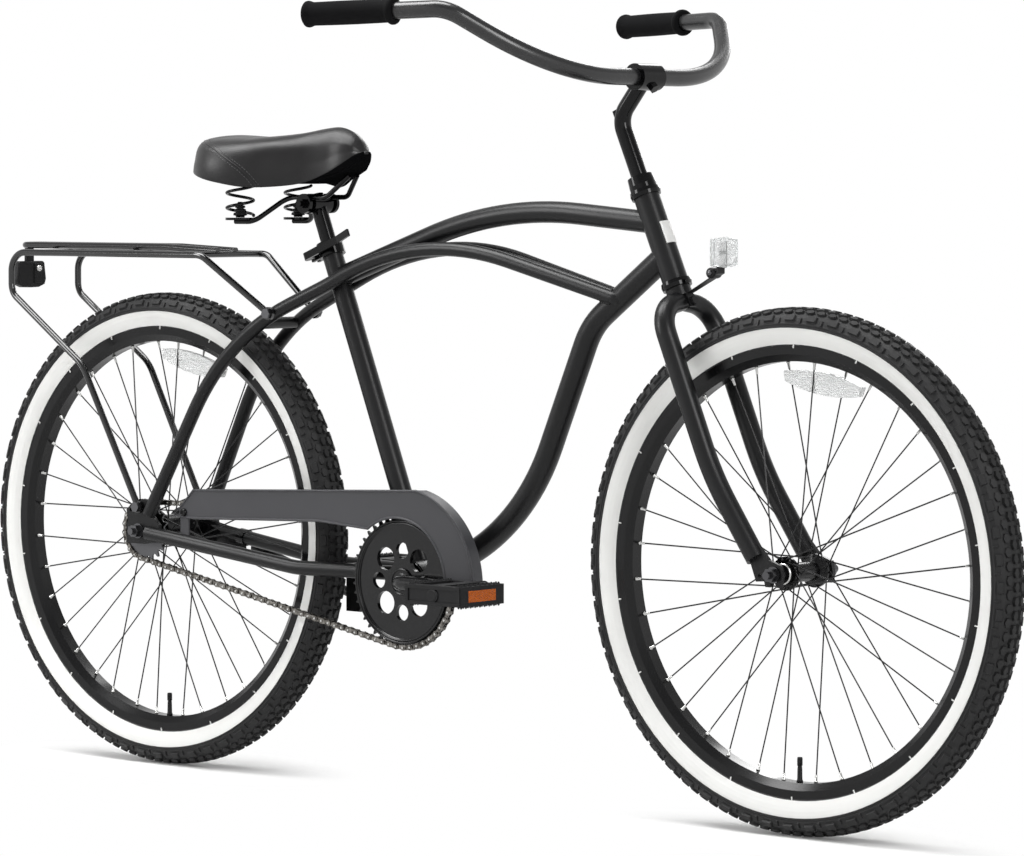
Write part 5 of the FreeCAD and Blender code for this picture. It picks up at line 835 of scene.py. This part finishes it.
bm = bmesh.new()
bmesh.ops.create_circle(bm, segments=12, radius=0.0041, cap_ends=True, matrix=(
    Matrix.Rotation(math.pi / 2, 4, "X") @ Matrix.Rotation(math.pi / 12, 4, "Z")))
for vertex in bm.verts:
    vertex.co.x += math.copysign(pitch / 2, vertex.co.x)
bmesh.ops.bisect_plane(bm, geom=bm.verts[:] + bm.edges[:] + bm.faces[:], plane_co=(0, 0, 0), plane_no=(1, 0, 0))
for vertex in bm.verts:
    if abs(vertex.co.x) < 1e-5:
        vertex.co.z *= 0.7
raise_faces(bm, bm.faces[:], (0, plate_thickness, 0))
bmesh.ops.recalc_face_normals(bm, faces=bm.faces)
plate_mesh = bpy.data.meshes.new("chain_plate")
bm.to_mesh(plate_mesh)
bm.free()
bm = bmesh.new()
pins = bmesh.new()
upright = Matrix.Rotation(math.pi / 2, 4, "X")
for index in range(links):
    first = roller_place(index) + chain_line
    last = roller_place((index + 1) % links) + chain_line
    lie = Matrix.Rotation(-math.atan2(last.z - first.z, last.x - first.x), 4, "Y")
    near = 0.0018 if index % 2 else 0.0031
    for offset in (near, -near - plate_thickness):
        plate = plate_mesh.copy()
        plate.transform(Matrix.Translation((first + last) / 2 + Vector((0, offset, 0))) @ lie)
        bm.from_mesh(plate)
        bpy.data.meshes.remove(plate)
    bmesh.ops.create_cone(bm, cap_ends=True, segments=10, radius1=0.00385, radius2=0.00385, depth=0.0034,
                          matrix=Matrix.Translation(first) @ upright)
    for tip in (-1, 1):
        bmesh.ops.create_cone(pins, cap_ends=True, segments=8, radius1=0.0021, radius2=0.0015, depth=0.0030,
                              matrix=Matrix.Translation(first + Vector((0, tip * 0.0037, 0))) @
                              Matrix.Rotation(-tip * math.pi / 2, 4, "X"))
bpy.data.meshes.remove(plate_mesh)
chain_links = mesh_piece("chain_links", bm, [chain_steel], "frame", smooth=False)
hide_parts("chain")
mesh_piece("chain_pins", pins, [bright_plating], "frame", smooth=False)


# Chain guard: pressed sheet steel in dark grey satin enamel, its edge turned in round the ring,
# with a large and a small screw at its tail.
def screw_head(target, place, axis, radius):
    """Adds a domed screw head with a round socket."""
    add_to(target, turned([(0.0, radius * 0.25), (radius * 0.42, radius * 0.25), (radius * 0.48, radius * 0.72),
                           (radius * 0.75, radius * 0.68), (radius * 0.95, radius * 0.4), (radius, radius * 0.1),
                           (radius, -0.0006), (0.0, -0.0006)], place, axis, 16))


guard_enamel, tree, shader = finish_of("dark_grey_satin_enamel", "#38383b", 0.42, Specular_IOR_Level=0.34)
peel(tree, shader, 1.8, 0.08, 0.38, 0.48, ("#353538", "#3b3b3e"))
paint_node(guard_enamel, "chain_guard")
guard_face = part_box("chain_guard")[0][1]
bm = rolled_edges("chain_guard", guard_face, 0.0017)
mesh_piece("guard_beads", bm, [guard_enamel], "frame")
bm = bmesh.new()
screw_head(bm, (-0.4713, -0.0611, 0.3652), (0, -1, 0), 0.0058)
screw_head(bm, (-0.4840, -0.0611, 0.3652), (0, -1, 0), 0.0026)
mesh_piece("guard_screws", bm, [gloss_enamel], "frame")

# Coaster brake arm: stamped from steel strip in black enamel. It runs forward from the rear axle
# and is strapped to the left chainstay.
paint_node(crank_enamel, "coaster_arm")

# Rack: bent steel rod and tube, welded, in gloss black enamel, bolted to the seat stays and the
# dropout eyes.
rack_enamel, tree, shader = finish_of("black_gloss_rack_enamel", "#0a0a0b", 0.16, Specular_IOR_Level=0.75)
peel(tree, shader, 3.0, 0.004, 0.10, 0.15, ("#060607", "#0a0a0b"))
paint_node(rack_enamel, "rack_rails", "rack_deck")

# Rear reflector: a red prismatic lens in a moulded housing with rounded shoulders and a raised
# screw boss, hung from the rack's tail by a short neck.
bm = bmesh.new()
half_outline = [(0.0, 0.7110), (0.0225, 0.7110), (0.0258, 0.7092), (0.0290, 0.6850), (0.0262, 0.6772),
                (0.0150, 0.6730), (0.0, 0.6726)]
outline = half_outline + [(-across, level) for across, level in reversed(half_outline[1:-1])]
flat = bm.faces.new([bm.verts.new((-0.8526, across, level)) for across, level in outline])
raise_faces(bm, [flat], (0.0118, 0, 0))
bmesh.ops.recalc_face_normals(bm, faces=bm.faces)
round_off(bm, [e for e in bm.edges if all(v.co.x > -0.842 for v in e.verts)], 0.0028, 4)
screw_boss = ((-0.8412, 0.0110, 0.6935), (0.0046, 0.0150, 0.0290))
neck = ((-0.8470, 0.0, 0.7195), (0.0060, 0.0150, 0.0206))
for middle, size in (screw_boss, neck):
    lump = bmesh.new()
    block(lump, middle, size)
    round_off(lump, lump.edges[:], 0.0014, 3)
    add_to(bm, lump)
tail_housing = mesh_piece("tail_housing", bm, [moulded_black], "frame", smooth=False)
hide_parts("rear_reflector_housing")
red_prism = prism_plastic("red_prismatic_plastic", "#8e1515", 2.4, 0.0, (0.0, math.pi / 2, math.pi / 4), 0.2)
paint_node(red_prism, "rear_reflector_lens")
bm = bmesh.new()
screw_head(bm, (-0.8389, 0.011, 0.7005), (1, 0, 0), 0.0048)
mesh_piece("tail_screw", bm, [bright_plating], "frame")
